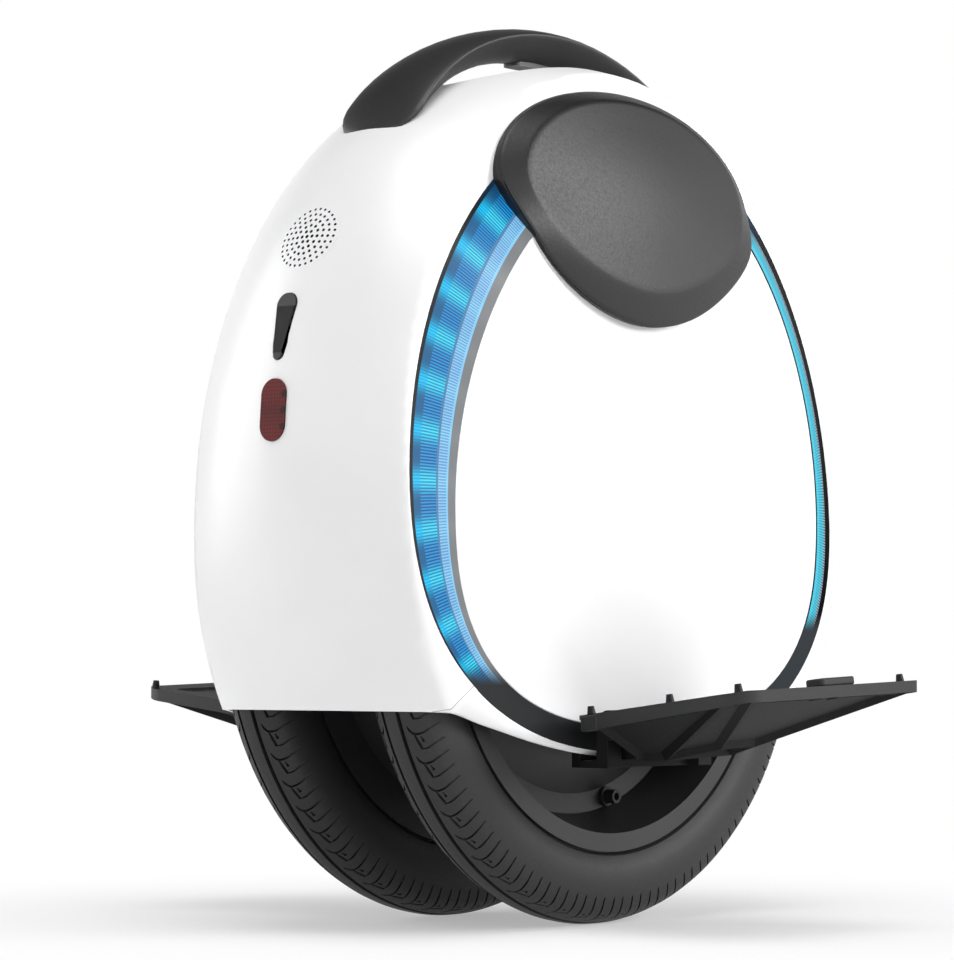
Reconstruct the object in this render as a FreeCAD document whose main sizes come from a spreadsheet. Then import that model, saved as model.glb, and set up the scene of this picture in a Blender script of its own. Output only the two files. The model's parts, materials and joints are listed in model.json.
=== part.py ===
"""Electric unicycle with two tyres on one hub motor, folding pedals and lit side rings.

Millimetres. X points forward, Z up, and the axle lies along Y. The origin is on the floor, under the
middle of the shell. Side pieces are made on the left, at positive Y, and mirrored to the right.
"""
import FreeCAD, Part
import Sketcher
import math
import os

vector = FreeCAD.Vector
doc = FreeCAD.newDocument("ElectricUnicycle")
sheet = doc.addObject("Spreadsheet::Sheet", "Sizes")

size_rows = (
    # Fits and cuts
    ("close_gap", 0.1, "assembly gap between two moulded faces"),
    ("seam", 0.3, "gap along a visible seam"),
    ("running_fit", 0.05, "radial play of a turning shaft"),
    ("overrun", 5, "how far a cutting tool passes the face that it cuts"),
    # Wheel
    ("tyre_radius", 178, "outer radius of a tyre, and height of the axle"),
    ("tyre_width", 42, "widest part of a tyre"),
    ("tread_half", 16.5, "half width of the tread"),
    ("tread_drop", 7.5, "how far the tread falls from its crown to its shoulder"),
    ("tread_wall", 8.5, "rubber under the tread"),
    ("side_wall", 5.5, "rubber at the side of a tyre"),
    ("bead_wall", 4.4, "rubber at a bead"),
    ("groove_offset", 5.2, "middle of a tread groove from the middle of its tyre"),
    ("groove_width", 2.2, "width of a tread groove"),
    ("groove_depth", 2.4, "depth of a tread groove"),
    ("tube_wall", 1.8, "rubber of an inner tube"),
    ("tube_radius", 15, "outer section radius of an inner tube"),
    ("rim_width", 34, "over the two flanges of a rim"),
    ("flange_radius", 138, "rim flange"),
    ("flange_wall", 2.6, "thickness of a rim flange"),
    ("bead_radius", 131, "rim where the tyre bead sits"),
    ("well_radius", 126.5, "rim at its well"),
    ("well_half", 5.5, "half width of the rim well"),
    ("well_slope", 3, "slope from the well up to a bead seat"),
    ("lip_radius", 128, "inner edge of the outer rim lip"),
    ("band_radius", 118, "outer edge of the flat band round the motor cover"),
    ("band_step", 4, "the band stands out from the drum by this much"),
    ("valve_radius", 3.85, "valve stem"),
    ("valve_bore", 2.2, "hollow of a valve stem"),
    ("valve_bore_depth", 6, "depth of that hollow"),
    ("valve_length", 9, "valve stem outside the rim"),
    ("valve_nut_radius", 5.4, "nut at the foot of a valve stem"),
    ("valve_nut_height", 2.5, "height of that nut"),
    ("valve_place", 112.6, "valve from the axle"),
    ("valve_turn", -76, "degrees, valve round the axle from straight ahead"),
    # Motor
    ("drum_half", 35, "half width of the rotor drum"),
    ("drum_wall", 18, "thickness of the rotor drum"),
    ("cover_radius", 107, "motor cover"),
    ("cover_dome", 8, "how far the motor cover swells past the band"),
    ("cover_wall", 4, "motor cover thickness"),
    ("cover_flank", 19, "width of the motor cover's slope"),
    ("magnet_depth", 3.5, "rotor magnet"),
    ("magnet_half", 19, "half length of a magnet along the axle"),
    ("air_gap", 0.8, "between magnets and stator"),
    ("stator_half", 18, "half width of the stator core"),
    ("tooth_depth", 26, "stator tooth"),
    ("tooth_width", 9.6, "stator tooth"),
    ("yoke_depth", 11, "stator yoke"),
    ("spider_half", 6, "half width of the stator's web"),
    ("spider_hole", 11, "radius of the holes in that web"),
    ("coil_wire", 2.3, "thickness of a coil round its tooth"),
    ("coil_gap", 0.2, "between a coil and its tooth"),
    ("coil_inset", 2.5, "a coil ends this far inside the tooth's ends"),
    ("axle_radius", 10, "axle in its bearings"),
    ("axle_hub", 15, "axle under the stator"),
    ("tang_radius", 8, "axle end in its hanger"),
    ("bearing_radius", 21, "ball bearing"),
    ("bearing_width", 12, "ball bearing"),
    ("race_depth", 3.2, "bearing ring"),
    ("shield_depth", 0.8, "bearing shield set back from the faces"),
    ("seat_wall", 5, "motor cover round its bearing"),
    # Hangers and pedals
    ("hanger_gap", 2, "between tyre and hanger"),
    ("hanger_thickness", 5.5, "hanger plate"),
    ("hanger_reach", 57, "hanger plate above the axle"),
    ("hanger_top_half", 30, "half width of the hanger's head"),
    ("hanger_waist_half", 25, "half width of the hanger at the axle"),
    ("hanger_foot_half", 46, "half width of the hanger's foot"),
    ("hanger_foot_height", 87, "underside of the hanger's foot"),
    ("foot_thickness", 4, "hanger foot"),
    ("lug_width", 12, "hinge lug along the pin"),
    ("lug_radius", 8, "hinge lug round the pin"),
    ("pin_radius", 4, "pedal pin"),
    ("pin_out", 15.3, "pedal pin from the side panel's face"),
    ("pin_height", 110, "pedal pin above the floor"),
    ("bolt_radius", 3, "hanger bolt"),
    ("bolt_spread", 16, "half distance between the hanger bolts"),
    ("bolt_low", 30, "lower hanger bolts above the axle"),
    ("bolt_high", 48, "upper hanger bolts above the axle"),
    ("cable_radius", 2.4, "motor cable"),
    ("cable_bend", 24, "motor cable's bend"),
    ("pedal_reach", 119, "pedal from its pin to its outer edge"),
    ("pedal_inset", 3, "pedal past its pin towards the shell"),
    ("pedal_inner_half", 64, "half length of the pedal at the shell"),
    ("pedal_outer_half", 80, "half length of the pedal's outer edge"),
    ("pedal_corner", 5, "rounding of the pedal's corners"),
    ("pedal_over_pin", 7.6, "pedal top above its pin"),
    ("pedal_rise", 14.2, "the pedal's top rises by this much outwards"),
    ("pedal_pitch", 1.76, "degrees, the pedal's top rises forwards"),
    ("pedal_setback", 5, "middle of the pedal behind the middle of its hinge"),
    ("pedal_rim", 6.5, "pedal thickness at its outer edge"),
    ("pedal_root", 9, "pedal thickness near its pin"),
    ("pedal_deck", 4, "pedal top over its pockets"),
    ("deck_border", 15, "raised border round the pedal's top"),
    ("deck_sink", 1.4, "pedal's top below that border"),
    ("rim_wall", 7, "wall round the pedal's pockets"),
    ("keel_root", 17, "pedal keel below its pin"),
    ("keel_bend", 11.5, "pedal keel below its pin where it starts to rise"),
    ("keel_length", 52, "pedal keel from its pin to that place"),
    ("keel_half", 31, "half width of the keel at the pin"),
    ("keel_tip_half", 14, "half width of the keel where it starts to rise"),
    ("rib_width", 6, "rib from the keel to a pedal corner"),
    ("knuckle_radius", 7.5, "pedal knuckle round its pin"),
    ("hinge_gap", 0.5, "between lug and knuckle along the pin"),
    ("lug_room", 3, "pedal from the lug's round"),
    ("stud_radius", 2.4, "foot of a pedal stud"),
    ("stud_tip", 1.7, "tip of a pedal stud"),
    ("stud_height", 4.4, "pedal stud"),
    ("stud_inset", 6, "stud from the pedal's edge"),
    ("block_length", 39, "raised block on the pedal's outer edge"),
    ("block_width", 12, "that block across"),
    ("block_height", 4.6, "that block above the pedal"),
    # Shell
    ("axle_setback", 6.5, "axle behind the middle of the shell"),
    ("wall", 3, "shell"),
    ("nose_room", 29, "shell's middle past the tyre"),
    ("crown_lift", 77, "widest height of the shell's middle above the axle"),
    ("crown_rise", 225, "shell's middle above its widest height"),
    ("crown_drop", 373, "curve of the shell's middle below its widest height"),
    ("shoulder_step", 20.5, "shell's side edge inside its middle"),
    ("shoulder_lift", 55, "widest height of the shell's side edge above the axle"),
    ("shoulder_rise", 235.5, "shell's side edge above its widest height"),
    ("shoulder_drop", 290, "curve of the shell's side edge below its widest height"),
    ("side_step", 7, "shell's side inside the panel's face, at the side level"),
    ("side_level", 42, "side level above the axle"),
    ("side_lean", 2.86, "degrees, lean of the shell's sides"),
    ("sill_low", 91.3, "shell's lowest edge, at the pedal"),
    ("sill_rise", 26.7, "shell's edge rises by this much to its corners"),
    ("sill_half", 174, "shell's lower corner from the middle"),
    ("skirt_rise", 15, "skirt seam rises by this much from the corner to the ring"),
    ("skirt_run", 37, "length of that seam along the shell"),
    ("scoop_half_length", 98, "hand recess along the shell"),
    ("scoop_half_width", 47, "hand recess across the shell"),
    ("scoop_depth", 46, "hand recess below the shell's top"),
    # Side ring and panel
    ("ring_lip", 1, "shell's edge round the ring at its widest"),
    ("ring_width", 25, "ring at its widest"),
    ("ring_rise", 212, "ring above its widest height"),
    ("ring_drop", 138.5, "ring below its widest height"),
    ("ring_lean", 8, "top of the ring ahead of its middle"),
    ("panel_lift", 49, "widest height of the panel above the axle"),
    ("panel_rise", 191, "panel above its widest height"),
    ("panel_drop", 119, "panel below its widest height"),
    ("panel_shift", 1.7, "middle of the panel ahead of the shell's"),
    ("panel_wall", 2, "side panel"),
    ("panel_round", 0.9, "rounded edge of the panel"),
    ("lens_wall", 3, "ring lens"),
    ("guide_wall", 2, "light guide under the lens"),
    ("tray_wall", 2, "tray under the panel"),
    ("tray_flange", 2.5, "tray behind the shell's edge"),
    ("tray_step", 3.5, "tray's rib inside the panel's edge"),
    ("flange_inset", 3, "tray's flange inside the ring's edge"),
    # Leg pad
    ("pad_half", 110, "half length of a leg pad"),
    ("pad_middle", 224, "widest height of a pad above the axle"),
    ("pad_rise", 56, "pad above that"),
    ("pad_drop", 75, "pad below that"),
    ("pad_out", 6.7, "pad's edge inside the panel's face at its widest height"),
    ("pad_base", 2.5, "pad over the ring and panel, where its edge would sink into them"),
    ("pad_lean", 10, "degrees, lean of a pad"),
    ("pad_swell", 10, "pad's face in front of its edge"),
    ("pad_bevel", 22, "slope round the pad's face"),
    ("pad_bevel_side", 15, "that slope at the ends"),
    ("pad_bevel_top", 9, "that slope at the top"),
    # Handle
    ("handle_half", 144, "half length of the handle's arch"),
    ("handle_sink", 100, "middle of that arch below the shell's top"),
    ("handle_rise", 115, "rise of the arch"),
    ("handle_end", 133, "end of the handle's feet from the middle"),
    ("handle_corner", 15, "rounding of the feet"),
    ("grip_half", 24, "half width of the grip"),
    ("handle_foot_half", 28, "half width of the handle's feet"),
    ("grip_crown", 5.2, "grip above its edges"),
    ("grip_belly", 13.5, "grip below its edges"),
    ("switch_length", 30, "lift switch"),
    ("switch_width", 12, "lift switch"),
    ("switch_height", 5, "lift switch"),
    ("switch_proud", 2.2, "lift switch below the grip"),
    ("switch_travel", 2, "lift switch"),
    ("slide_gap", 0.4, "round a sliding button"),
    ("button_radius", 9, "power button"),
    ("button_proud", 2.6, "power button above the recess"),
    ("button_skirt", 3.2, "power button below the recess's floor"),
    ("button_place", 66, "power button ahead of the middle"),
    ("button_collar", 2, "collar under the recess, round the power button"),
    # Fittings in the rear and front of the shell
    ("speaker_lift", 190, "speaker above the axle"),
    ("grille_radius", 20.5, "speaker grille"),
    ("grille_hole", 1.05, "middle hole of the grille"),
    ("grille_pitch", 3.5, "between the grille's rings of holes"),
    ("driver_radius", 23, "speaker driver"),
    ("driver_flange", 2, "rim of the speaker driver"),
    ("driver_depth", 15, "speaker driver behind its rim"),
    ("driver_magnet", 12, "radius of the driver's magnet"),
    ("flap_lift", 140, "middle of the charge flap above the axle"),
    ("flap_top", 6.5, "radius of the flap's upper end"),
    ("flap_low", 3.6, "radius of the flap's lower end"),
    ("flap_length", 26, "between the two ends' centres"),
    ("flap_thickness", 2.6, "charge flap"),
    ("flap_proud", 0.9, "charge flap in front of the shell"),
    ("flap_gap", 0.6, "round the charge flap"),
    ("flap_pin", 0.8, "radius of the flap's hinge pin"),
    ("flap_pin_depth", 1, "that pin behind the shell's face"),
    ("flap_pin_reach", 1.8, "that pin into the shell"),
    ("socket_radius", 9.5, "charge socket"),
    ("socket_bore", 4, "charge socket's bore"),
    ("socket_depth", 12, "charge socket"),
    ("socket_bore_depth", 9, "charge socket's bore"),
    ("tail_lift", 97, "tail light above the axle"),
    ("tail_width", 17.5, "tail light"),
    ("tail_height", 33, "tail light"),
    ("head_lift", 100, "head light above the axle"),
    ("head_radius", 16, "head light"),
    ("lamp_proud", 0.5, "lamp lens in front of the shell"),
    ("lamp_flange", 2.2, "lamp lens behind the shell's edge"),
    ("lamp_seat", 1.4, "lamp lens flange"),
    ("board_thickness", 1.6, "lamp board"),
    ("curve_room", 0.6, "flat fittings from the shell's curve"),
    # Inside
    ("well_gap", 6, "between tyre and liner"),
    ("liner_wall", 2.5, "wheel liner"),
    ("liner_end", 127, "lower ends of the liner"),
    ("pack_depth", 40, "battery pack"),
    ("rear_pack_start", 104, "degrees, rear battery pack round the axle from straight ahead"),
    ("rear_pack_end", 132, "degrees, its other end"),
    ("front_pack_start", 40, "degrees, front battery pack"),
    ("front_pack_end", 76, "degrees, its other end"),
    ("pack_half", 48, "half width of a battery pack"),
    ("sink_height", 9, "heat sink"),
    ("sink_base", 3, "heat sink under its fins"),
    ("sink_half", 36, "half length of the heat sink"),
    ("sink_half_width", 42, "half width of the heat sink"),
    ("fin_width", 2, "heat sink fin"),
)
# Outline powers, counts and turns, which carry no length.
ring_powers_share = (2.0, 2.39)
panel_powers_share = (1.89, 2.61)
shoulder_powers_share = (1.96, 2.0)
crown_powers_share = (2.06, 2.0)
pad_powers_share = (2.0, 1.7)
middle_bulge_share = 0.25
tooth_count = 27
magnet_count = 30
magnet_fill_share = 0.86
grille_rings = 6
fin_count = 9
outline_points = 28


class Length:
    """A size together with the sheet formula that drives it."""

    def __init__(self, value, formula):
        self.value = value
        self.formula = formula

    def joined(self, other, sign, value):
        return Length(value, "(" + self.formula + sign + formula(other) + ")")

    def __add__(self, other):
        return self.joined(other, " + ", self.value + number(other))

    def __sub__(self, other):
        return self.joined(other, " - ", self.value - number(other))

    def __mul__(self, other):
        return self.joined(other, " * ", self.value * number(other))

    def __truediv__(self, other):
        return self.joined(other, " / ", self.value / number(other))

    def __neg__(self):
        return Length(-self.value, "(0 - " + self.formula + ")")


def number(size):
    return size.value if isinstance(size, Length) else float(size)


def formula(size):
    return size.formula if isinstance(size, Length) else repr(float(size))


class SizeSheet:
    """Reads the sheet's cells by their aliases."""

    def __init__(self, rows):
        for row, (alias, value, note) in enumerate(rows, 1):
            sheet.set("A%d" % row, alias)
            sheet.set("B%d" % row, str(value))
            sheet.set("C%d" % row, note)
            sheet.setAlias("B%d" % row, alias)
        doc.recompute()

    def __getattr__(self, alias):
        return Length(float(sheet.get(alias)), "Sizes." + alias)


s = SizeSheet(size_rows)

# Places that several pieces share.
axle_height = s.tyre_radius
tyre_offset = s.drum_half + s.rim_width / 2
tyre_face = tyre_offset + s.tyre_width / 2
hanger_face = tyre_face + s.hanger_gap
hanger_back = hanger_face + s.hanger_thickness
tray_back = hanger_back + s.close_gap
tray_front = tray_back + s.tray_wall
panel_back = tray_front + s.close_gap
panel_face = panel_back + s.panel_wall
pin_y = panel_face + s.pin_out
crown_half = s.tyre_radius + s.nose_room
shoulder_half = crown_half - s.shoulder_step
ring_half = shoulder_half - s.ring_lip
panel_half = ring_half - s.ring_width
crown_middle = axle_height + s.crown_lift
scoop_floor = crown_middle + s.crown_rise - s.scoop_depth
band_face = s.drum_half + s.band_step
drum_radius = s.band_radius - s.close_gap
magnet_radius = drum_radius - s.drum_wall
stator_radius = magnet_radius - s.magnet_depth - s.air_gap
yoke_radius = stator_radius - s.tooth_depth
liner_radius = s.tyre_radius + s.well_gap
liner_outer = liner_radius + s.liner_wall
lens_back = s.lens_wall + s.close_gap
guide_back = lens_back + s.guide_wall

pieces = []


def keep(thing):
    """Marks a document object as a finished piece, named for its file."""
    thing.Label = thing.Name
    pieces.append(thing)
    return thing


def bind(thing, prop, size):
    thing.setExpression(prop, formula(size))


def place(thing, x=0, y=0, z=0, axis=(0, 0, 1), turn=0):
    thing.Placement = FreeCAD.Placement(vector(0, 0, 0), FreeCAD.Rotation(vector(*axis), turn))
    for name, size in (("x", x), ("y", y), ("z", z)):
        bind(thing, "Placement.Base." + name, size)
    return thing


def cylinder_y(name, radius, start, end, x=-s.axle_setback, z=axle_height):
    """A cylinder along Y from one place to another, on the axle unless told otherwise."""
    thing = doc.addObject("Part::Cylinder", name)
    bind(thing, "Radius", radius)
    bind(thing, "Height", end - start)
    return place(thing, x, start, z, (1, 0, 0), -90)


def cylinder_x(name, radius, start, end, y, z):
    thing = doc.addObject("Part::Cylinder", name)
    bind(thing, "Radius", radius)
    bind(thing, "Height", end - start)
    return place(thing, start, y, z, (0, 1, 0), 90)


def box(name, low, high):
    thing = doc.addObject("Part::Box", name)
    for prop, start, end in zip(("Length", "Width", "Height"), low, high):
        bind(thing, prop, end - start)
    return place(thing, *low)


def cut(name, base, *tools):
    thing = doc.addObject("Part::Cut", name)
    thing.Base = base
    thing.Tool = tools[0] if len(tools) == 1 else fuse(name + "Tools", *tools)
    return thing


def fuse(name, *things):
    thing = doc.addObject("Part::MultiFuse", name)
    thing.Shapes = list(things)
    return thing


def mirrored(name, source):
    thing = doc.addObject("Part::Mirroring", name)
    thing.Source = source
    thing.Normal = vector(0, 1, 0)
    return thing


def both_sides(make, name):
    """Makes a piece on the left and mirrors it to the right."""
    left = keep(make(name + "_left"))
    keep(mirrored(name + "_right", left))
    return left


def shaped(name, shape):
    """A piece whose curved form has no feature of its own."""
    thing = doc.addObject("Part::Feature", name)
    thing.Shape = shape
    return thing


def outline_sketch(body, role, points):
    """A closed outline of straight lines whose corners follow the sheet."""
    sketch = body.newObject("Sketcher::SketchObject", body.Name + "Outline")
    plane = [f for f in body.Origin.OriginFeatures if f.Role == role][0]
    sketch.AttachmentSupport = (plane, [""])
    sketch.MapMode = "FlatFace"
    corners = [vector(number(u), number(v), 0) for u, v in points]
    count = len(corners)
    for i in range(count):
        sketch.addGeometry(Part.LineSegment(corners[i], corners[(i + 1) % count]), False)
    for i in range(count):
        sketch.addConstraint(Sketcher.Constraint("Coincident", i, 2, (i + 1) % count, 1))
    for i, point in enumerate(points):
        for kind, axis, size in (("DistanceX", -2, point[0]), ("DistanceY", -1, point[1])):
            if number(size) == 0:
                sketch.addConstraint(Sketcher.Constraint("PointOnObject", i, 1, axis))
                continue
            row = sketch.addConstraint(Sketcher.Constraint(kind, -1, 1, i, 1, number(size)))
            bind(sketch, "Constraints[%d]" % row, size)
    return sketch


def turned_body(name, points):
    """A body of revolution about the axle, from places along Y and radii."""
    body = doc.addObject("PartDesign::Body", name)
    sketch = outline_sketch(body, "YZ_Plane", points)
    turn = body.newObject("PartDesign::Revolution", name + "Turn")
    turn.Profile = sketch
    turn.ReferenceAxis = (sketch, ["H_Axis"])
    turn.Angle = 360
    return place(body, -s.axle_setback, 0, axle_height)


def plate_body(name, points, start, thickness):
    """A plate on edge: an outline in X and Z, as thick along Y as asked."""
    body = doc.addObject("PartDesign::Body", name)
    sketch = outline_sketch(body, "XZ_Plane", points)
    pad = body.newObject("PartDesign::Pad", name + "Pad")
    pad.Profile = sketch
    pad.Reversed = True
    bind(pad, "Length", thickness)
    return place(body, 0, start, 0)


# Curved forms: egg outlines seen from the side, and solids through them.
class Egg:
    """An outline that is taller above its widest height than below it, or the other way round."""

    def __init__(self, half, middle, rise, drop, powers, shift=0, lean=0):
        self.half = number(half)
        self.middle = number(middle)
        self.rise = number(rise)
        self.drop = number(drop)
        self.powers = powers
        self.shift = number(shift)
        self.lean = number(lean)

    def point(self, turn, grow):
        across, up = math.cos(turn), math.sin(turn)
        upper = up >= 0
        power = 2 / self.powers[0 if upper else 1]
        reach = (self.rise if upper else self.drop) + grow
        x = math.copysign(abs(across) ** power, across) * (self.half + grow)
        z = self.middle + math.copysign(abs(up) ** power, up) * reach
        ahead = self.shift + (self.lean * ((z - self.middle) / reach) ** 2 if upper else 0)
        return x + ahead, z

    def wire(self, plane, grow=0, start=0):
        """The outline on a plane, given as the place along Y for each height, begun at the given point."""
        points = []
        for i in range(outline_points):
            x, z = self.point(math.tau * (i + start + 0.5) / outline_points, number(grow))
            points.append(vector(x, plane(z), z))
        curve = Part.BSplineCurve()
        curve.interpolate(Points=points, PeriodicFlag=True)
        return Part.Wire([curve.toShape()])

    def prism(self, start, end, grow=0, first=5):
        """A straight solid of this outline between two upright or leaning planes."""
        return Part.makeLoft([self.wire(start, grow, first), self.wire(end, grow, first)], True, True)

    def between(self, other, share):
        mixed = [a + (b - a) * share for a, b in zip(self.sizes(), other.sizes())]
        powers = [a + (b - a) * share for a, b in zip(self.powers, other.powers)]
        return Egg(*mixed, powers)

    def sizes(self):
        return self.half, self.middle, self.rise, self.drop


def upright(size):
    return lambda z: number(size)


def side_plane(inset):
    """The shell's leaning side, moved inwards by the given depth."""
    level = number(axle_height + s.side_level)
    start = number(panel_face - s.side_step - inset)
    lean = math.tan(math.radians(s.side_lean.value))
    return lambda z: start - lean * (z - level)


crown_egg = Egg(crown_half, crown_middle, s.crown_rise, s.crown_drop, crown_powers_share)
shoulder_egg = Egg(shoulder_half, axle_height + s.shoulder_lift, s.shoulder_rise, s.shoulder_drop,
                   shoulder_powers_share)
ring_egg = Egg(ring_half, axle_height + s.shoulder_lift, s.ring_rise, s.ring_drop, ring_powers_share,
               lean=s.ring_lean)
panel_egg = Egg(panel_half, axle_height + s.panel_lift, s.panel_rise, s.panel_drop, panel_powers_share,
                s.panel_shift, s.ring_lean)
pad_egg = Egg(s.pad_half, axle_height + s.pad_middle, s.pad_rise, s.pad_drop, pad_powers_share)


def shell_form(inset):
    """The shell's whole outer form, moved inwards by the given depth."""
    side = side_plane(inset)
    bulge_egg = crown_egg.between(shoulder_egg, middle_bulge_share)
    inward = -number(inset)
    stations = ((1, shoulder_egg), (0.5, bulge_egg), (0, crown_egg), (-0.5, bulge_egg), (-1, shoulder_egg))
    sections = []
    for share, egg in stations:
        sections.append(egg.wire(lambda z: share * side(z), inward))
    return Part.makeLoft(sections, True, False)


def ring_form(depth):
    """The raised ring and panel form on the left side, moved inwards by the given depth."""
    rim = side_plane(s.lens_wall + depth)
    edge = side_plane(depth)
    face = upright(panel_face - depth)
    return Part.makeLoft([ring_egg.wire(rim), ring_egg.wire(edge), panel_egg.wire(face)], True, True)


def scoop_form(grow, floor):
    """The hand recess, an oval well open at the top."""
    length = number(s.scoop_half_length + grow)
    width = number(s.scoop_half_width + grow)
    oval = Part.Ellipse(vector(0, 0, number(floor)), length, width)
    face = Part.Face(Part.Wire([oval.toShape()]))
    return face.extrude(vector(0, 0, number(s.scoop_depth * 2)))


def crown_place(lift, front=False):
    """A frame on the shell's middle line, over its widest height: Z points out, Y up the shell."""
    z = number(axle_height + lift)
    up = (z - crown_egg.middle) / crown_egg.rise
    power = crown_egg.powers[0]
    across = (1 - up ** power) ** (1 / power)
    x = crown_egg.half * across
    turn = math.atan2(up ** (power - 1) / crown_egg.rise, across ** (power - 1) / crown_egg.half)
    way = 1 if front else -1
    out = vector(way * math.cos(turn), 0, math.sin(turn))
    along = vector(-way * math.sin(turn), 0, math.cos(turn))
    side = along.cross(out)
    return FreeCAD.Placement(FreeCAD.Matrix(side.x, along.x, out.x, way * x, side.y, along.y, out.y, 0,
                                            side.z, along.z, out.z, z, 0, 0, 0, 1))


def placed(shape, frame):
    return shape.transformed(frame.toMatrix())


def disc(radius, low, high):
    return Part.makeCylinder(number(radius), number(high - low), vector(0, 0, number(low)))


def drop_face(top_radius, low_radius, length, low, high):
    """A drop-shaped plate: two round ends joined by their tangents, wide end up."""
    top_radius, low_radius, length = number(top_radius), number(low_radius), number(length)
    lift = number(low)
    lean = math.asin((low_radius - top_radius) / length)
    side, tilt = math.cos(lean), math.sin(lean)
    top = vector(0, length / 2, lift)
    foot = vector(0, -length / 2, lift)
    top_right = top + vector(side, tilt, 0) * top_radius
    top_left = top + vector(-side, tilt, 0) * top_radius
    foot_right = foot + vector(side, tilt, 0) * low_radius
    foot_left = foot + vector(-side, tilt, 0) * low_radius
    edges = [
        Part.LineSegment(foot_right, top_right),
        Part.Arc(top_right, top + vector(0, top_radius, 0), top_left),
        Part.LineSegment(top_left, foot_left),
        Part.Arc(foot_left, foot - vector(0, low_radius, 0), foot_right),
    ]
    face = Part.Face(Part.Wire([edge.toShape() for edge in edges]))
    return face.extrude(vector(0, 0, number(high) - lift))


def stadium(width, height, low, high):
    end = width / 2
    return drop_face(end, end, height - width, low, high)


# Shell
outer_form = shell_form(0)
inner_form = shell_form(s.wall)
clear_form = shell_form(s.wall + s.running_fit)
speaker_frame = crown_place(s.speaker_lift)
flap_frame = crown_place(s.flap_lift)
tail_frame = crown_place(s.tail_lift)
head_frame = crown_place(s.head_lift, True)


def sill_form():
    """What is cut off under the shell: a level run at each end and a smooth dip to the pedals."""
    half, low, rise = number(s.sill_half), number(s.sill_low), number(s.sill_rise)
    end = half + number(s.nose_room * 3)
    dip_shares = ((-1, 1), (-0.8, 0.79), (-0.53, 0.37), (-0.21, 0.06), (0, 0), (0.21, 0.06), (0.53, 0.37),
                  (0.8, 0.79), (1, 1))
    side = number(panel_face * 2)
    curve = Part.BSplineCurve()
    curve.interpolate(Points=[vector(half * a, -side, low + rise * b) for a, b in dip_shares])
    left, right = vector(-half, -side, low + rise), vector(half, -side, low + rise)
    level = low + rise * (1 + 1 / len(dip_shares))
    deep = -number(s.shoulder_drop)
    corners = ((end, level), (end, deep), (-end, deep), (-end, level))
    ring = [vector(x, -side, z) for x, z in corners]
    edges = [curve.toShape(), Part.LineSegment(right, ring[0]).toShape()]
    edges += [Part.LineSegment(a, b).toShape() for a, b in zip(ring, ring[1:])]
    edges.append(Part.LineSegment(ring[-1], left).toShape())
    return Part.Face(Part.Wire(edges)).extrude(vector(0, side * 2, 0))


def skirt_region(grow):
    """The part of a side wall that lies under the skirt's seam."""
    corner = s.sill_half + s.ring_lip + grow
    corner_height = number(s.sill_low + s.sill_rise + grow)
    ring = number(corner - s.skirt_run)
    ring_height = number(s.sill_low + s.sill_rise + s.skirt_rise + grow)
    start = number(tyre_offset)
    corner = number(corner)
    points = [(-corner, 0), (-corner, corner_height), (-ring, ring_height), (ring, ring_height),
              (corner, corner_height), (corner, 0)]
    wire = Part.makePolygon([vector(x, start, z) for x, z in points + points[:1]])
    return Part.Face(wire).extrude(vector(0, number(tyre_face), 0))


def flipped(shape):
    return shape.mirror(vector(0, 0, 0), vector(0, 1, 0))


def bare_shell():
    """Shell walls with the hand recess, cut at the sill and open at the sides."""
    well = scoop_form(0, scoop_floor)
    tub = scoop_form(s.wall, scoop_floor - s.wall)
    shell = outer_form.cut(inner_form).fuse(outer_form.common(tub)).cut(well)
    opening = ring_egg.prism(side_plane(s.wall * 2), side_plane(-s.lens_wall * 4), s.seam)
    opening = opening.cut(scoop_form(s.wall, scoop_floor - s.wall))
    return shell.cut([sill_form(), opening, flipped(opening)])


def drill(shape, tools):
    for tool in tools:
        shape = shape.cut(tool)
    return shape


shell_walls = bare_shell()
grille_plug = placed(disc(s.grille_radius + s.close_gap, -s.wall * 4, s.overrun), speaker_frame)
flap_hole = placed(drop_face(s.flap_top + s.flap_gap, s.flap_low + s.flap_gap, s.flap_length, -s.wall * 3,
                             s.overrun), flap_frame)
tail_hole = placed(stadium(s.tail_width + s.seam, s.tail_height + s.seam, -s.wall * 3, s.overrun), tail_frame)
head_hole = placed(disc(s.head_radius + s.seam, -s.wall * 3, s.overrun), head_frame)
button_hole = Part.makeCylinder(number(s.button_radius + s.slide_gap), number(s.wall * 3),
                                vector(number(s.button_place), 0, number(scoop_floor - s.wall * 2)))


def flap_hinge(radius, reach):
    """The flap's hinge pin, or its hole, across the flap's narrow end."""
    half = number(s.flap_low + s.flap_gap + reach)
    start = vector(-half, -number(s.flap_length / 2), -s.flap_pin_depth.value)
    return placed(Part.makeCylinder(number(radius), half * 2, start, vector(1, 0, 0)), flap_frame)


def main_shell(name):
    left_region = skirt_region(s.seam)
    pin_hole = flap_hinge(s.flap_pin + s.running_fit, s.flap_pin_reach + s.close_gap)
    holes = [grille_plug, flap_hole, tail_hole, head_hole, button_hole, pin_hole]
    shell = drill(shell_walls, [left_region, flipped(left_region)] + holes)
    solids = sorted(shell.Solids, key=lambda solid: solid.Volume)
    return shaped(name, solids[-1])


def skirt(name):
    strip = shell_walls.common(skirt_region(0))
    solids = sorted(strip.Solids, key=lambda solid: solid.Volume)
    return shaped(name, solids[-1])


keep(main_shell("main_shell"))
both_sides(skirt, "lower_skirt")


# Side panel, ring lens, light guide and tray
panel_prism = panel_egg.prism(upright(hanger_face), upright(panel_face + s.overrun), s.seam)
scoop_room = scoop_form(s.wall + s.seam, scoop_floor - s.wall - s.seam)


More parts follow.
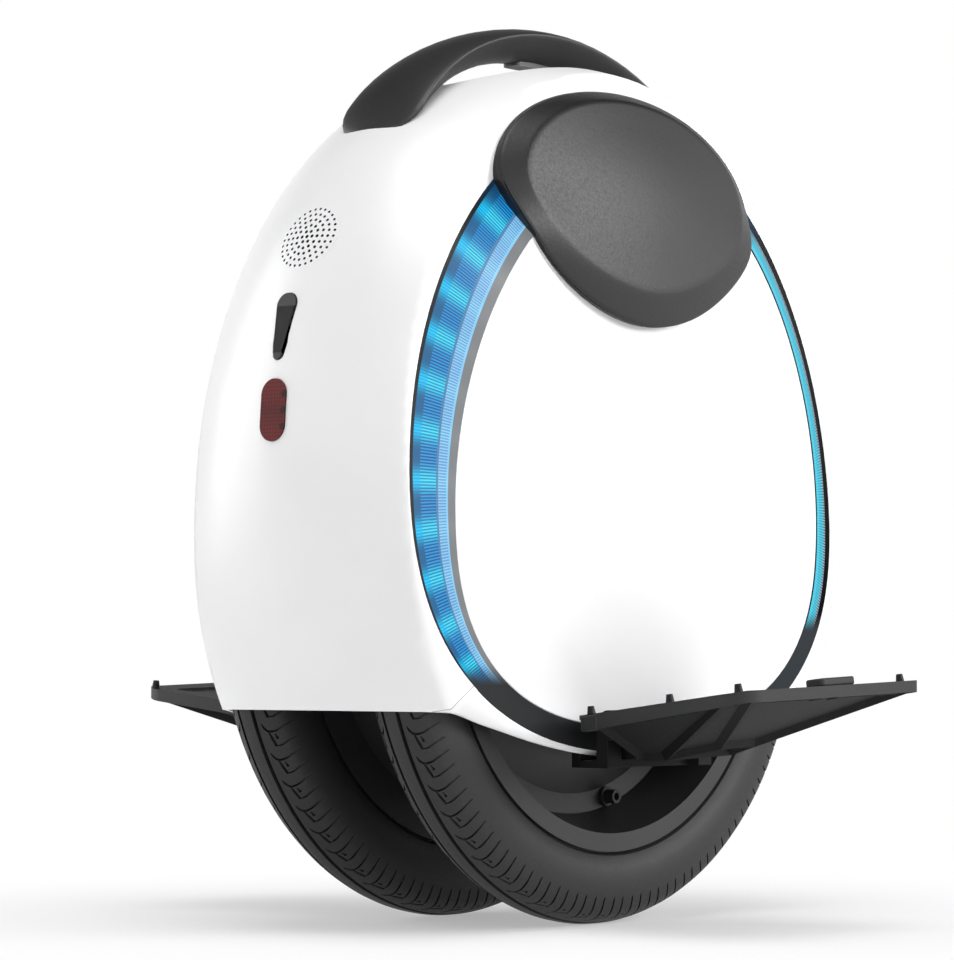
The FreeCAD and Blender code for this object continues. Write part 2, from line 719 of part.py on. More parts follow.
def side_panel(name):
    plate = panel_egg.prism(upright(panel_back), upright(panel_face))
    rim = [edge for edge in plate.Edges if abs(edge.CenterOfMass.y - panel_face.value) < s.close_gap.value]
    return shaped(name, plate.makeFillet(s.panel_round.value, rim))


def ring_lens(name):
    skin = ring_form(0).cut(ring_form(s.lens_wall)).cut(panel_prism)
    return shaped(name, skin.cut(scoop_room).Solids[0])


def light_guide(name):
    outer = ring_egg.prism(side_plane(s.wall * 6), side_plane(-s.lens_wall * 4), -(s.flange_inset + s.seam))
    skin = ring_form(lens_back).cut(ring_form(guide_back)).common(outer)
    return shaped(name, skin.cut(panel_prism).cut(scoop_room).cut(hanger_notch(panel_face)).Solids[0])


def hanger_notch(depth):
    """Room for the hanger's foot at the bottom of the ring, as deep along Y as asked."""
    half = number(s.hanger_foot_half + s.close_gap * 5)
    return Part.makeBox(half * 2, number(depth), number(s.pin_height + s.skirt_rise),
                        vector(-half - s.axle_setback.value, 0, 0))


def panel_tray(name):
    """A dished tray: flange behind the shell's edge, slope under the light guide, flat under the panel."""
    depth = guide_back + s.close_gap
    slope = ring_form(depth).cut(ring_form(depth + s.tray_wall))
    flat = panel_egg.prism(upright(tray_back), upright(tray_front), -s.tray_step)
    core = panel_egg.prism(upright(panel_face - depth - s.tray_wall), upright(tray_front), -s.tray_step)
    core = core.cut(panel_egg.prism(upright(hanger_face - s.overrun), upright(tray_back), -s.tray_step * 2))
    hollow = panel_egg.prism(upright(hanger_face - s.overrun), upright(tray_back), -s.tray_step * 2)
    flange = ring_egg.prism(side_plane(depth + s.tray_wall), side_plane(s.wall + s.close_gap), s.tray_flange)
    flange = flange.cut(ring_egg.prism(side_plane(depth * 2), side_plane(-s.wall), -s.flange_inset))
    tray = slope.cut(hollow).fuse([flat, core, flange]).common(clear_form.fuse(panel_prism))
    tray = tray.cut(scoop_room).cut(hanger_notch(tray_back))
    radius = number(s.bolt_radius + s.close_gap)
    for x, z in bolt_places():
        tray = tray.cut(Part.makeCylinder(radius, number(panel_face), vector(x, 0, z), vector(0, 1, 0)))
    solids = sorted(tray.Solids, key=lambda solid: solid.Volume)
    return shaped(name, solids[-1])


def bolt_places():
    """Hanger bolts, two above two, over the axle."""
    places = []
    for lift in (s.bolt_low, s.bolt_high):
        for side in (-1, 1):
            places.append((-s.axle_setback.value + side * s.bolt_spread.value, number(axle_height + lift)))
    return places


both_sides(side_panel, "side_panel")
both_sides(ring_lens, "ring_lens")
both_sides(light_guide, "light_guide")
both_sides(panel_tray, "panel_tray")


def leg_pad(name):
    """A shield-shaped pad: sloped rim, flat leaning face, back shaped to the shell and ring."""
    level = number(axle_height + s.pad_middle)
    lean = math.tan(math.radians(s.pad_lean.value))
    start = number(panel_face - s.pad_out)
    edge = lambda z: start - lean * (z - level)
    back = lambda z: edge(z) - number(s.pad_swell * 4)
    face = lambda z: edge(z) + s.pad_swell.value
    inner = Egg(s.pad_half - s.pad_bevel_side, axle_height + s.pad_middle, s.pad_rise - s.pad_bevel_top,
                s.pad_drop - s.pad_bevel, pad_powers_share)
    form = Part.makeLoft([pad_egg.wire(back), pad_egg.wire(edge), inner.wire(face)], True, True)
    base = pad_egg.prism(upright(hanger_face - s.overrun), upright(panel_face + s.overrun))
    form = form.fuse(base.common(ring_form(-s.pad_base)))
    form = form.cut(outer_form).cut(ring_form(0))
    solids = sorted(form.Solids, key=lambda solid: solid.Volume)
    return shaped(name, solids[-1])


both_sides(leg_pad, "leg_pad")


# Handle, lift switch and power button
handle_middle = crown_middle + s.crown_rise - s.handle_sink


def handle_section(share, width_share, thick_share):
    """One lens-shaped section of the handle, square to its arch."""
    half, rise = s.handle_half.value, s.handle_rise.value
    x = half * share
    z = number(handle_middle) + rise * math.sqrt(1 - share * share)
    out = vector(x / half ** 2, 0, (z - number(handle_middle)) / rise ** 2).normalize()
    middle = vector(x, 0, z)
    reach = vector(0, number(s.grip_half + (s.handle_foot_half - s.grip_half) * width_share), 0)
    top = middle + out * (s.grip_crown.value * thick_share)
    belly = middle - out * s.grip_belly.value
    arcs = [Part.Arc(middle - reach, top, middle + reach), Part.Arc(middle + reach, belly, middle - reach)]
    return Part.Wire([arc.toShape() for arc in arcs])


def handle(name):
    half_shares = ((0, 0, 1), (0.3, 0.05, 1), (0.55, 0.35, 0.95), (0.74, 0.85, 0.75), (0.86, 1, 0.5),
                   (0.93, 0.6, 0.35), (0.955, 0.1, 0.3))
    stations = [(-a, b, c) for a, b, c in reversed(half_shares)] + list(half_shares[1:])
    arch = Part.makeLoft([handle_section(*row) for row in stations], True, False).cut(outer_form)
    arch = arch.cut(switch_form(s.slide_gap, s.switch_travel + s.slide_gap)).common(handle_plan())
    solids = sorted(arch.Solids, key=lambda solid: solid.Volume)
    return shaped(name, solids[-1])


def handle_plan():
    """The handle from above: straight sides and rounded feet."""
    length, width = number(s.handle_end), number(s.handle_foot_half + s.close_gap)
    block = Part.makeBox(length * 2, width * 2, number(s.handle_rise * 2),
                         vector(-length, -width, number(handle_middle)))
    uprights = [edge for edge in block.Edges if edge.BoundBox.ZLength > s.close_gap.value]
    return block.makeFillet(s.handle_corner.value, uprights)


def switch_form(grow, rise):
    """The lift switch's block, set into the grip's underside."""
    length = number(s.switch_length / 2 + grow)
    width = number(s.switch_width / 2 + grow)
    low = number(handle_middle + s.handle_rise - s.grip_belly - s.switch_proud)
    block = Part.makeBox(length * 2, width * 2, number(s.switch_height + rise), vector(-length, -width, low))
    uprights = [edge for edge in block.Edges if edge.BoundBox.ZLength > s.close_gap.value]
    return block.makeFillet(width * 0.6, uprights)


keep(handle("handle"))
keep(shaped("lift_switch", switch_form(0, 0)))


def power_button(name):
    """A round cap in the recess's floor, on a wider skirt that stops it from lifting out."""
    cap = doc.addObject("Part::Cylinder", name + "Cap")
    bind(cap, "Radius", s.button_radius)
    bind(cap, "Height", s.button_proud + s.wall + s.button_skirt)
    place(cap, s.button_place, 0, scoop_floor - s.wall - s.button_skirt)
    skirt_disc = doc.addObject("Part::Cylinder", name + "Skirt")
    bind(skirt_disc, "Radius", s.button_radius + s.button_collar)
    bind(skirt_disc, "Height", s.button_skirt - s.slide_gap)
    place(skirt_disc, s.button_place, 0, scoop_floor - s.wall - s.button_skirt)
    return fuse(name, cap, skirt_disc)


keep(power_button("power_button"))


# Rear and front fittings
def speaker_grille(name):
    """The round field of holes, cut from the shell's own wall."""
    plate = shell_walls.common(placed(disc(s.grille_radius, -s.wall * 4, s.overrun), speaker_frame))
    depth = number(s.wall * 4)
    holes = []
    for ring in range(grille_rings):
        count = max(1, 6 * ring)
        radius = number(s.grille_hole) * (1 - 0.3 * ring / grille_rings)
        for i in range(count):
            turn = math.tau * i / count
            at = vector(math.cos(turn), math.sin(turn), 0) * (ring * s.grille_pitch.value)
            hole = Part.makeCylinder(radius, depth + s.overrun.value, at - vector(0, 0, depth))
            holes.append(placed(hole, speaker_frame))
    plate = plate.cut(holes)
    return shaped(name, plate.Solids[0])


def speaker_driver(name):
    seat = -(s.wall + s.curve_room * 6)
    rim = disc(s.driver_radius, seat - s.driver_flange, seat)
    half_depth = number(s.driver_depth / 2)
    cone = Part.makeCone(number(s.driver_magnet), number(s.driver_radius - s.driver_flange), half_depth,
                         vector(0, 0, number(seat - s.driver_flange) - half_depth))
    magnet = disc(s.driver_magnet, seat - s.driver_flange - s.driver_depth, seat - s.driver_flange)
    mouth = number(s.driver_radius - s.driver_flange * 2)
    bowl = Part.makeCone(number(s.driver_magnet / 2), mouth, half_depth,
                         vector(0, 0, number(seat) - half_depth))
    return shaped(name, placed(rim.fuse([cone, magnet]).cut(bowl), speaker_frame))


def charge_flap(name):
    back = s.flap_proud - s.flap_thickness
    plate = drop_face(s.flap_top, s.flap_low, s.flap_length, back, s.flap_proud)
    flap = placed(plate, flap_frame).fuse(flap_hinge(s.flap_pin, s.flap_pin_reach))
    return shaped(name, flap.removeSplitter())


def charge_socket(name):
    """A round socket under the flap's wide end, with a rim behind the shell."""
    seat = -(s.wall + s.curve_room * 3)
    middle = vector(0, number(s.flap_length / 2), 0)
    barrel = disc(s.flap_top, seat - s.socket_depth, s.flap_proud - s.flap_thickness - s.close_gap)
    rim = disc(s.socket_radius, seat - s.socket_depth, seat)
    bore_start = s.flap_proud - s.flap_thickness - s.socket_bore_depth
    bore = disc(s.socket_bore, bore_start, s.overrun)
    shape = barrel.fuse(rim).cut(bore)
    shape.translate(middle)
    return shaped(name, placed(shape, flap_frame))


def tail_lens(name):
    seat = -(s.wall + s.curve_room * 2)
    front = stadium(s.tail_width, s.tail_height, seat - s.lamp_seat, s.lamp_proud)
    flange = s.lamp_flange * 2
    rim = stadium(s.tail_width + flange, s.tail_height + flange, seat - s.lamp_seat, seat)
    return shaped(name, placed(front.fuse(rim).removeSplitter(), tail_frame))


def tail_board(name):
    seat = -(s.wall + s.curve_room * 2 + s.lamp_seat)
    board = stadium(s.tail_width, s.tail_height, seat - s.board_thickness, seat)
    return shaped(name, placed(board, tail_frame))


def head_lens(name):
    seat = -(s.wall + s.curve_room * 3)
    front = disc(s.head_radius, seat - s.lamp_seat, s.lamp_proud)
    rim = disc(s.head_radius + s.lamp_flange, seat - s.lamp_seat, seat)
    return shaped(name, placed(front.fuse(rim).removeSplitter(), head_frame))


def head_board(name):
    seat = -(s.wall + s.curve_room * 3 + s.lamp_seat)
    return shaped(name, placed(disc(s.head_radius, seat - s.board_thickness, seat), head_frame))


fittings = (speaker_grille, speaker_driver, charge_flap, charge_socket, tail_lens, tail_board, head_lens,
            head_board)
for make in fittings:
    keep(make(make.__name__))


# Wheel
def tyre(name):
    """A hollow tyre section of arcs, with two tread grooves, turned about the axle."""
    middle, top = number(tyre_offset), s.tyre_radius.value
    half, tread = number(s.tyre_width / 2), s.tread_half.value
    bead = number(s.bead_radius + s.close_gap * 2)
    bead_half = number(s.rim_width / 2 - s.flange_wall - s.close_gap)
    bead_in = bead_half - s.bead_wall.value
    flange = number(s.flange_radius + s.close_gap * 4)
    shoulder = top - s.tread_drop.value
    waist = (flange + shoulder) / 2
    inner_top = top - s.tread_wall.value
    inner_half = half - s.side_wall.value
    inner_shoulder = shoulder - s.side_wall.value
    inner_tread = tread - s.side_wall.value

    def at(y, r):
        return vector(0, middle + y, r)

    def line(a, b):
        return Part.LineSegment(at(*a), at(*b)).toShape()

    def arc(a, b, c):
        return Part.Arc(at(*a), at(*b), at(*c)).toShape()

    edges = [
        arc((-tread, shoulder), (0, top), (tread, shoulder)),
        arc((tread, shoulder), (half, waist), (bead_half, flange)),
        line((bead_half, flange), (bead_half, bead)),
        line((bead_half, bead), (bead_in, bead)),
        line((bead_in, bead), (bead_in, flange)),
        arc((bead_in, flange), (inner_half, waist), (inner_tread, inner_shoulder)),
        arc((inner_tread, inner_shoulder), (0, inner_top), (-inner_tread, inner_shoulder)),
        arc((-inner_tread, inner_shoulder), (-inner_half, waist), (-bead_in, flange)),
        line((-bead_in, flange), (-bead_in, bead)),
        line((-bead_in, bead), (-bead_half, bead)),
        line((-bead_half, bead), (-bead_half, flange)),
        arc((-bead_half, flange), (-half, waist), (-tread, shoulder)),
    ]
    section = Part.Face(Part.Wire(edges))
    solid = section.revolve(vector(0, 0, 0), vector(0, 1, 0), 360)
    width = s.groove_width.value
    for side in (-1, 1):
        start = vector(0, middle + side * s.groove_offset.value - width / 2, 0)
        ring = Part.makeCylinder(top, width, start, vector(0, 1, 0))
        core = Part.makeCylinder(top - s.groove_depth.value, width, start, vector(0, 1, 0))
        solid = solid.cut(ring.cut(core))
    thing = shaped(name, solid)
    return place(thing, -s.axle_setback, 0, axle_height)


def ring_tube(name, radius):
    thing = doc.addObject("Part::Torus", name)
    bind(thing, "Radius1", (s.bead_radius + s.tyre_radius - s.tread_wall) / 2 + s.close_gap * 2)
    bind(thing, "Radius2", radius)
    return place(thing, -s.axle_setback, tyre_offset, axle_height, (1, 0, 0), -90)


def inner_tube(name):
    skin = ring_tube(name + "Skin", s.tube_radius)
    return cut(name, skin, ring_tube(name + "Air", s.tube_radius - s.tube_wall))


def rim(name):
    inside = s.drum_half
    outside = inside + s.rim_width
    well_low, well_high = tyre_offset - s.well_half, tyre_offset + s.well_half
    return turned_body(name, [
        (inside, s.cover_radius), (band_face, s.cover_radius), (band_face, s.band_radius),
        (outside, s.lip_radius), (outside, s.flange_radius), (outside - s.flange_wall, s.flange_radius),
        (outside - s.flange_wall, s.bead_radius), (well_high + s.well_slope, s.bead_radius),
        (well_high, s.well_radius), (well_low, s.well_radius), (well_low - s.well_slope, s.bead_radius),
        (inside + s.flange_wall, s.bead_radius), (inside + s.flange_wall, s.flange_radius),
        (inside, s.flange_radius),
    ])


def valve(name):
    """A short valve stem with its nut, standing on the rim's flat band."""
    turn = math.radians(s.valve_turn.value)
    x = -s.axle_setback + s.valve_place * math.cos(turn)
    z = axle_height + s.valve_place * math.sin(turn)
    end = band_face + s.valve_length
    stem = cylinder_y(name + "Stem", s.valve_radius, band_face, end, x, z)
    nut = cylinder_y(name + "Nut", s.valve_nut_radius, band_face, band_face + s.valve_nut_height, x, z)
    bore = cylinder_y(name + "Bore", s.valve_bore, end - s.valve_bore_depth, end, x, z)
    return cut(name, fuse(name + "Body", stem, nut), bore)


def motor_cover(name):
    """A domed cover: spigot in the drum, slope, flat face, bearing seat."""
    inside = s.drum_half
    dome = band_face + s.cover_dome
    under = dome - s.cover_wall
    edge = s.cover_radius - s.close_gap
    spigot = magnet_radius - s.close_gap
    bend = edge - s.cover_flank
    seat = s.bearing_radius + s.running_fit
    bearing_end = inside + s.bearing_width
    lip = dome + s.cover_wall / 2
    boss = seat + s.seat_wall
    hole = s.axle_radius + s.race_depth
    return turned_body(name, [
        (inside, edge), (band_face, edge), (dome, bend), (dome, boss + s.cover_wall), (lip, boss),
        (lip, hole), (bearing_end, hole), (bearing_end, seat), (inside, seat), (inside, boss),
        (under, boss + s.cover_wall), (under, bend - s.cover_wall / 2), (inside, spigot - s.cover_wall * 2),
        (inside - s.cover_wall, spigot - s.cover_wall), (inside - s.cover_wall, spigot), (inside, spigot),
    ])


def bearing(name):
    """Inner and outer ring with shields set back between them."""
    start = s.drum_half + s.close_gap
    end = s.drum_half + s.bearing_width - s.close_gap
    bore = s.axle_radius + s.running_fit
    inner = bore + s.race_depth
    outer = s.bearing_radius - s.race_depth
    return turned_body(name, [
        (start, bore), (start, inner), (start + s.shield_depth, inner), (start + s.shield_depth, outer),
        (start, outer), (start, s.bearing_radius), (end, s.bearing_radius), (end, outer),
        (end - s.shield_depth, outer), (end - s.shield_depth, inner), (end, inner), (end, bore),
    ])


def rotor_drum(name):
    half = s.drum_half
    return turned_body(name, [
        (-half, magnet_radius), (half, magnet_radius), (half, drum_radius), (-half, drum_radius),
    ])


def axle(name):
    shoulder = hanger_face - s.close_gap
    end = hanger_back
    hub = s.stator_half + s.close_gap
    return turned_body(name, [
        (-end, 0), (end, 0), (end, s.tang_radius), (shoulder, s.tang_radius), (shoulder, s.axle_radius),
        (hub, s.axle_radius), (hub, s.axle_hub), (-hub, s.axle_hub), (-hub, s.axle_radius),
        (-shoulder, s.axle_radius), (-shoulder, s.tang_radius), (-end, s.tang_radius),
    ])


def turned_copies(shape, count):
    """Copies of a shape spread evenly round the axle, as separate solids."""
    centre = vector(-s.axle_setback.value, 0, number(axle_height))
    copies = []
    for i in range(count):
        one = shape.copy()
        one.rotate(centre, vector(0, 1, 0), 360.0 * i / count)
        copies.append(one)
    return copies


def tooth_box(half_width, low, high, half_length):
    """A block along one tooth, which stands straight up from the axle."""
    half_width, half_length = number(half_width), number(half_length)
    low, high = number(low), number(high)
    corner = vector(-s.axle_setback.value - half_width, -half_length, number(axle_height) + low)
    return Part.makeBox(half_width * 2, half_length * 2, high - low, corner)


def stator_core(name):
    """Yoke, teeth and a web with round holes, on the axle's hub."""
    half = s.stator_half
    outer = cylinder_y(name + "Outer", yoke_radius, -half, half)
    inner = cylinder_y(name + "Inner", yoke_radius - s.yoke_depth, -half, half)
    web = cylinder_y(name + "Web", yoke_radius - s.yoke_depth / 2, -s.spider_half, s.spider_half)
    hub = cylinder_y(name + "Hub", s.axle_hub + s.spider_half, -half, half)
    hole = cylinder_y(name + "Hole", s.axle_hub + s.running_fit, -half, half)
    teeth = Part.makeCompound(turned_copies(
        tooth_box(s.tooth_width / 2, yoke_radius - s.yoke_depth / 2, stator_radius, half), tooth_count))
    doc.recompute()
    round_half = (yoke_radius - s.yoke_depth + s.axle_hub + s.spider_half) / 2
    hole_at = vector(-s.axle_setback.value, -half.value, number(axle_height + round_half))
    window = Part.makeCylinder(s.spider_hole.value, half.value * 2, hole_at, vector(0, 1, 0))
    core = outer.Shape.cut(inner.Shape).fuse([web.Shape, hub.Shape] + teeth.Solids)
    core = core.cut(hole.Shape).cut(turned_copies(window, 6))
    return shaped(name, core.removeSplitter().Solids[0])


def stator_coils(name):
    low, high = yoke_radius + s.coil_inset, stator_radius - s.coil_inset
    width, length = s.tooth_width / 2 + s.coil_gap, s.stator_half + s.coil_gap
    inner = tooth_box(width, low, high, length)
    outer = tooth_box(width + s.coil_wire, low, high, length + s.coil_wire)
    return shaped(name, Part.makeCompound(turned_copies(outer.cut(inner), tooth_count)))


def rotor_magnets(name):
    centre = vector(-s.axle_setback.value, -s.magnet_half.value, number(axle_height))
    span = 360.0 / magnet_count * magnet_fill_share
    length = s.magnet_half.value * 2
    outer = Part.makeCylinder(number(magnet_radius), length, centre, vector(0, 1, 0), span)
    inner = Part.makeCylinder(number(magnet_radius - s.magnet_depth), length, centre, vector(0, 1, 0))
    return shaped(name, Part.makeCompound(turned_copies(outer.cut(inner), magnet_count)))


both_sides(tyre, "tyre")
both_sides(inner_tube, "inner_tube")
both_sides(rim, "rim")
both_sides(valve, "valve_stem")
both_sides(motor_cover, "motor_cover")
both_sides(bearing, "bearing")
for make in (rotor_drum, axle, stator_core, stator_coils, rotor_magnets):
    keep(make(make.__name__))


# Hangers and pedals
pedal_middle = -s.axle_setback


def hanger(name):
    """A plate from over the axle down to a foot under the shell, with two hinge lugs outside."""
    foot_top = s.hanger_foot_height + s.foot_thickness
    head = axle_height + s.hanger_reach
    half_outline = [
        (s.hanger_foot_half, s.hanger_foot_height), (s.hanger_foot_half, s.pin_height),
        (s.hanger_waist_half, axle_height - s.hanger_waist_half), (s.hanger_waist_half, axle_height),
        (s.hanger_top_half, head - s.hanger_waist_half), (s.hanger_top_half, head),
    ]
    outline = [(pedal_middle + x, z) for x, z in half_outline]
    outline += [(pedal_middle - x, z) for x, z in reversed(half_outline)]
    plate = plate_body(name + "Plate", outline, hanger_face, s.hanger_thickness)
    lug_back = pin_y - s.lug_radius
    foot = box(name + "Foot", (pedal_middle - s.hanger_foot_half, hanger_face, s.hanger_foot_height),
               (pedal_middle + s.hanger_foot_half, lug_back, foot_top))
    lugs = []
    for tag, start in (("Rear", pedal_middle - s.hanger_foot_half),
                       ("Front", pedal_middle + s.hanger_foot_half - s.lug_width)):
        end = start + s.lug_width
        lugs.append(cylinder_x(name + tag + "Round", s.lug_radius, start, end, pin_y, s.pin_height))
        low, high = (start, lug_back, s.hanger_foot_height), (end, pin_y, s.pin_height)
        lugs.append(box(name + tag + "Lug", low, high))
    before, after = hanger_face - s.overrun, hanger_back + s.overrun
    hole = cylinder_y(name + "AxleHole", s.tang_radius + s.running_fit, before, after)
    slit_half = s.cable_radius + s.close_gap
    slit = box(name + "Slit", (pedal_middle - slit_half, before, axle_height),
               (pedal_middle + slit_half, after, head + s.overrun))
    pin_hole = cylinder_x(name + "PinHole", s.pin_radius + s.running_fit, pedal_middle - s.pedal_outer_half,
                          pedal_middle + s.pedal_outer_half, pin_y, s.pin_height)
    bolts = []
    for i, (x, z) in enumerate(bolt_rows()):
        bolts.append(cylinder_y("%sBolt%d" % (name, i), s.bolt_radius + s.running_fit, before, after, x, z))
    return cut(name, fuse(name + "Solid", plate, foot, *lugs), hole, slit, pin_hole, *bolts)


def bolt_rows():
    return [(pedal_middle + s.bolt_spread * side, axle_height + lift) for lift in (s.bolt_low, s.bolt_high)
            for side in (-1, 1)]


def hanger_bolts(name):
    group = doc.addObject("Part::Compound", name)
    group.Links = [cylinder_y("%sOne%d" % (name, i), s.bolt_radius, hanger_face, tray_front, x, z)
                   for i, (x, z) in enumerate(bolt_rows())]
    return group


def pedal_pin(name):
    start, end = pedal_middle - s.hanger_foot_half, pedal_middle + s.hanger_foot_half
    return cylinder_x(name, s.pin_radius, start, end, pin_y, s.pin_height)


pedal_edge = pin_y + s.pedal_reach
pedal_root_y = pin_y - s.pedal_inset
pedal_top = s.pin_height + s.pedal_over_pin
plan_middle = pedal_middle - s.pedal_setback


def pedal_height(y):
    """Height of the pedal's top at a place along Y."""
    return number(pedal_top) + s.pedal_rise.value * (y - number(pin_y)) / s.pedal_reach.value


def pitched(shape):
    """Tips a level shape with the pedal, its front end up."""
    shape.rotate(vector(number(pedal_middle), 0, number(pedal_top)), vector(0, 1, 0), -s.pedal_pitch.value)
    return shape


def pedal_plan(inset, low, high):
    """The pedal's outline from above, rounded at its corners, as an upright prism."""
    inset = number(inset)
    middle = number(plan_middle)
    start, end = number(pedal_root_y) + inset, number(pedal_edge) - inset
    inner, outer = s.pedal_inner_half.value - inset, s.pedal_outer_half.value - inset
    points = [(-inner, start), (inner, start), (outer, end), (-outer, end)]
    wire = Part.makePolygon([vector(middle + x, y, number(low)) for x, y in points + points[:1]])
    prism = Part.Face(wire).extrude(vector(0, 0, number(high) - number(low)))
    uprights = [edge for edge in prism.Edges if edge.BoundBox.ZLength > s.close_gap.value]
    return prism.makeFillet(s.pedal_corner.value * inner / s.pedal_inner_half.value, uprights)


def pedal_side(points, half):
    """A wedge seen along X, given by places along Y and heights, as wide as asked."""
    half = number(half)
    corners = [vector(number(pedal_middle) - half, y, z) for y, z in points]
    return Part.Face(Part.makePolygon(corners + corners[:1])).extrude(vector(half * 2, 0, 0))


def pedal(name):
    """A tilted plate with pockets under it, a keel to its knuckle and ribs to its corners."""
    root, end, pin = number(pedal_root_y), number(pedal_edge), number(pin_y)
    pin_z = s.pin_height.value
    wall, deck = s.rim_wall.value, s.pedal_deck.value
    half = s.pedal_outer_half + s.pedal_setback * 2
    rim_low = pedal_height(end) - s.pedal_rim.value
    root_low = pedal_height(root) - s.pedal_root.value
    plate_points = [(root, pedal_height(root)), (end, pedal_height(end)), (end, rim_low), (root, root_low)]
    plate = pedal_plan(0, 0, axle_height).common(pitched(pedal_side(plate_points, half)))
    near, far = root + wall, end - wall
    pocket_points = [(near, pedal_height(near) - deck), (far, pedal_height(far) - deck), (far, 0), (near, 0)]
    pocket = pedal_plan(s.rim_wall, 0, axle_height).common(pitched(pedal_side(pocket_points, half)))
    bend_y = pin + s.keel_length.value
    knuckle_radius, keel_low = s.knuckle_radius.value, pin_z - s.keel_root.value
    keel_points = [(pin - knuckle_radius, pin_z), (pin, pin_z + knuckle_radius),
                   (far, pedal_height(far) - deck), (end - wall / 2, rim_low),
                   (bend_y, pin_z - s.keel_bend.value),
                   (pin + knuckle_radius, keel_low), (pin - knuckle_radius / 2, keel_low)]
    keel = pitched(pedal_side(keel_points, s.keel_half)).common(keel_plan())
    ribs = []
    for side in (-1, 1):
        ribs.append(rib_wall(side, bend_y).common(pitched(pedal_side(keel_points, half))))
    knuckle = Part.makeCylinder(knuckle_radius, s.keel_half.value * 2,
                                vector(number(pedal_middle) - s.keel_half.value, pin, pin_z), vector(1, 0, 0))
    solid = plate.cut(pocket).fuse([keel, knuckle] + ribs)
    solid = solid.common(pedal_plan(0, 0, axle_height).fuse(knuckle_room()))
    tools = [deck_recess()]
    for side in (-1, 1):
        low = number(s.hanger_foot_half - s.lug_width - s.hinge_gap)
        high = number(s.hanger_foot_half + s.hinge_gap)
        start = number(pedal_middle) + (low if side > 0 else -high)
        tools.append(Part.makeBox(high - low, number(s.lug_radius * 2 + s.lug_room), number(axle_height),
                                  vector(start, pin - number(s.lug_radius), 0)))
    bore_start = vector(number(pedal_middle - half), pin, pin_z)
    tools.append(Part.makeCylinder(number(s.pin_radius + s.running_fit), number(half * 2), bore_start,
                                   vector(1, 0, 0)))
    solids = sorted(solid.cut(tools).Solids, key=lambda one: one.Volume)
    return shaped(name, solids[-1])


def deck_recess():
    """A shallow recess in the pedal's top, inside its raised border."""
    start, end = number(pin_y), number(pedal_edge)
    depth = s.deck_sink.value
    points = [(start, pedal_height(start) - depth), (end, pedal_height(end) - depth),
              (end, number(axle_height)), (start, number(axle_height))]
    tread = pitched(pedal_side(points, s.pedal_outer_half + s.pedal_setback * 2))
    return pedal_plan(s.deck_border, 0, axle_height).common(tread)


def keel_plan():
    """The keel narrows outwards, then runs on as a rib."""
    middle, pin = number(pedal_middle), number(pin_y)
    root, tip = s.keel_half.value, s.keel_tip_half.value
    places = [(root, pin - s.knuckle_radius.value), (root, pin + s.knuckle_radius.value),
              (tip, pin + s.keel_length.value), (s.rib_width.value, number(pedal_edge))]
    points = [(x, y) for x, y in places] + [(-x, y) for x, y in reversed(places)]
    wire = Part.makePolygon([vector(middle + x, y, 0) for x, y in points + points[:1]])
    return Part.Face(wire).extrude(vector(0, 0, number(axle_height)))


def knuckle_room():
    """Where the pedal may reach past its plan: round the pin, between the lugs."""
    half = s.keel_half.value
    radius = s.keel_root.value
    return Part.makeBox(half * 2, radius * 2, number(pedal_top),
                        vector(number(pedal_middle) - half, number(pin_y) - radius, 0))


def rib_wall(side, start):
    """An upright wall from the keel's bend to an outer corner of the pedal."""
    middle, width = number(pedal_middle), s.rib_width.value / 2
    corner = side * (s.pedal_outer_half.value - s.rim_wall.value) - s.pedal_setback.value
    end = number(pedal_edge) - s.rim_wall.value
    points = [(0, start - width), (corner, end - width), (corner, end + width), (0, start + width)]
    wire = Part.makePolygon([vector(middle + x, y, 0) for x, y in points + points[:1]])
    return Part.Face(wire).extrude(vector(0, 0, number(axle_height)))


def stud_places():
    """Studs along the pedal's two ends, from the shell outwards."""
    places = []
    for share in (0.03, 0.53, 0.93):
        y = number(pedal_root_y) + share * number(pedal_edge - pedal_root_y)
        if share < 0.5:
            y = number(pedal_root_y) + s.stud_inset.value
        half = s.pedal_inner_half.value + share * number(s.pedal_outer_half - s.pedal_inner_half)
        for side in (-1, 1):
            places.append((number(plan_middle) + side * (half - s.stud_inset.value), y))
    return places


def pedal_studs(name):
    tilt = math.atan2(s.pedal_rise.value, s.pedal_reach.value)
    up = vector(0, -math.sin(tilt), math.cos(tilt))
    cones = []
    for x, y in stud_places():
        cones.append(Part.makeCone(s.stud_radius.value, s.stud_tip.value, s.stud_height.value,
                                   vector(x, y, pedal_height(y)), up))
    return shaped(name, pitched(Part.makeCompound(cones)))


def pedal_block(name):
    """A raised rubber block on the middle of the pedal's outer edge."""
    tilt = math.degrees(math.atan2(s.pedal_rise.value, s.pedal_reach.value))
    length, width, height = s.block_length.value, s.block_width.value, s.block_height.value
    block = Part.makeBox(length, width, height, vector(-length / 2, -width, 0))
    uprights = [edge for edge in block.Edges if edge.BoundBox.ZLength > height / 2]
    block = block.makeFillet(width / 3, uprights)
    top = [edge for edge in block.Edges if edge.BoundBox.ZMin > height / 2]
    block = block.makeFillet(height / 4, top)
    end = number(pedal_edge) - s.rim_wall.value / 4
    block.rotate(vector(0, 0, 0), vector(1, 0, 0), tilt)
    block.translate(vector(number(plan_middle), end, pedal_height(end)))
    return shaped(name, pitched(block))


both_sides(hanger, "hanger")
both_sides(hanger_bolts, "hanger_bolts")
both_sides(pedal_pin, "pedal_pin")
both_sides(pedal, "pedal")
both_sides(pedal_studs, "pedal_studs")
both_sides(pedal_block, "pedal_block")


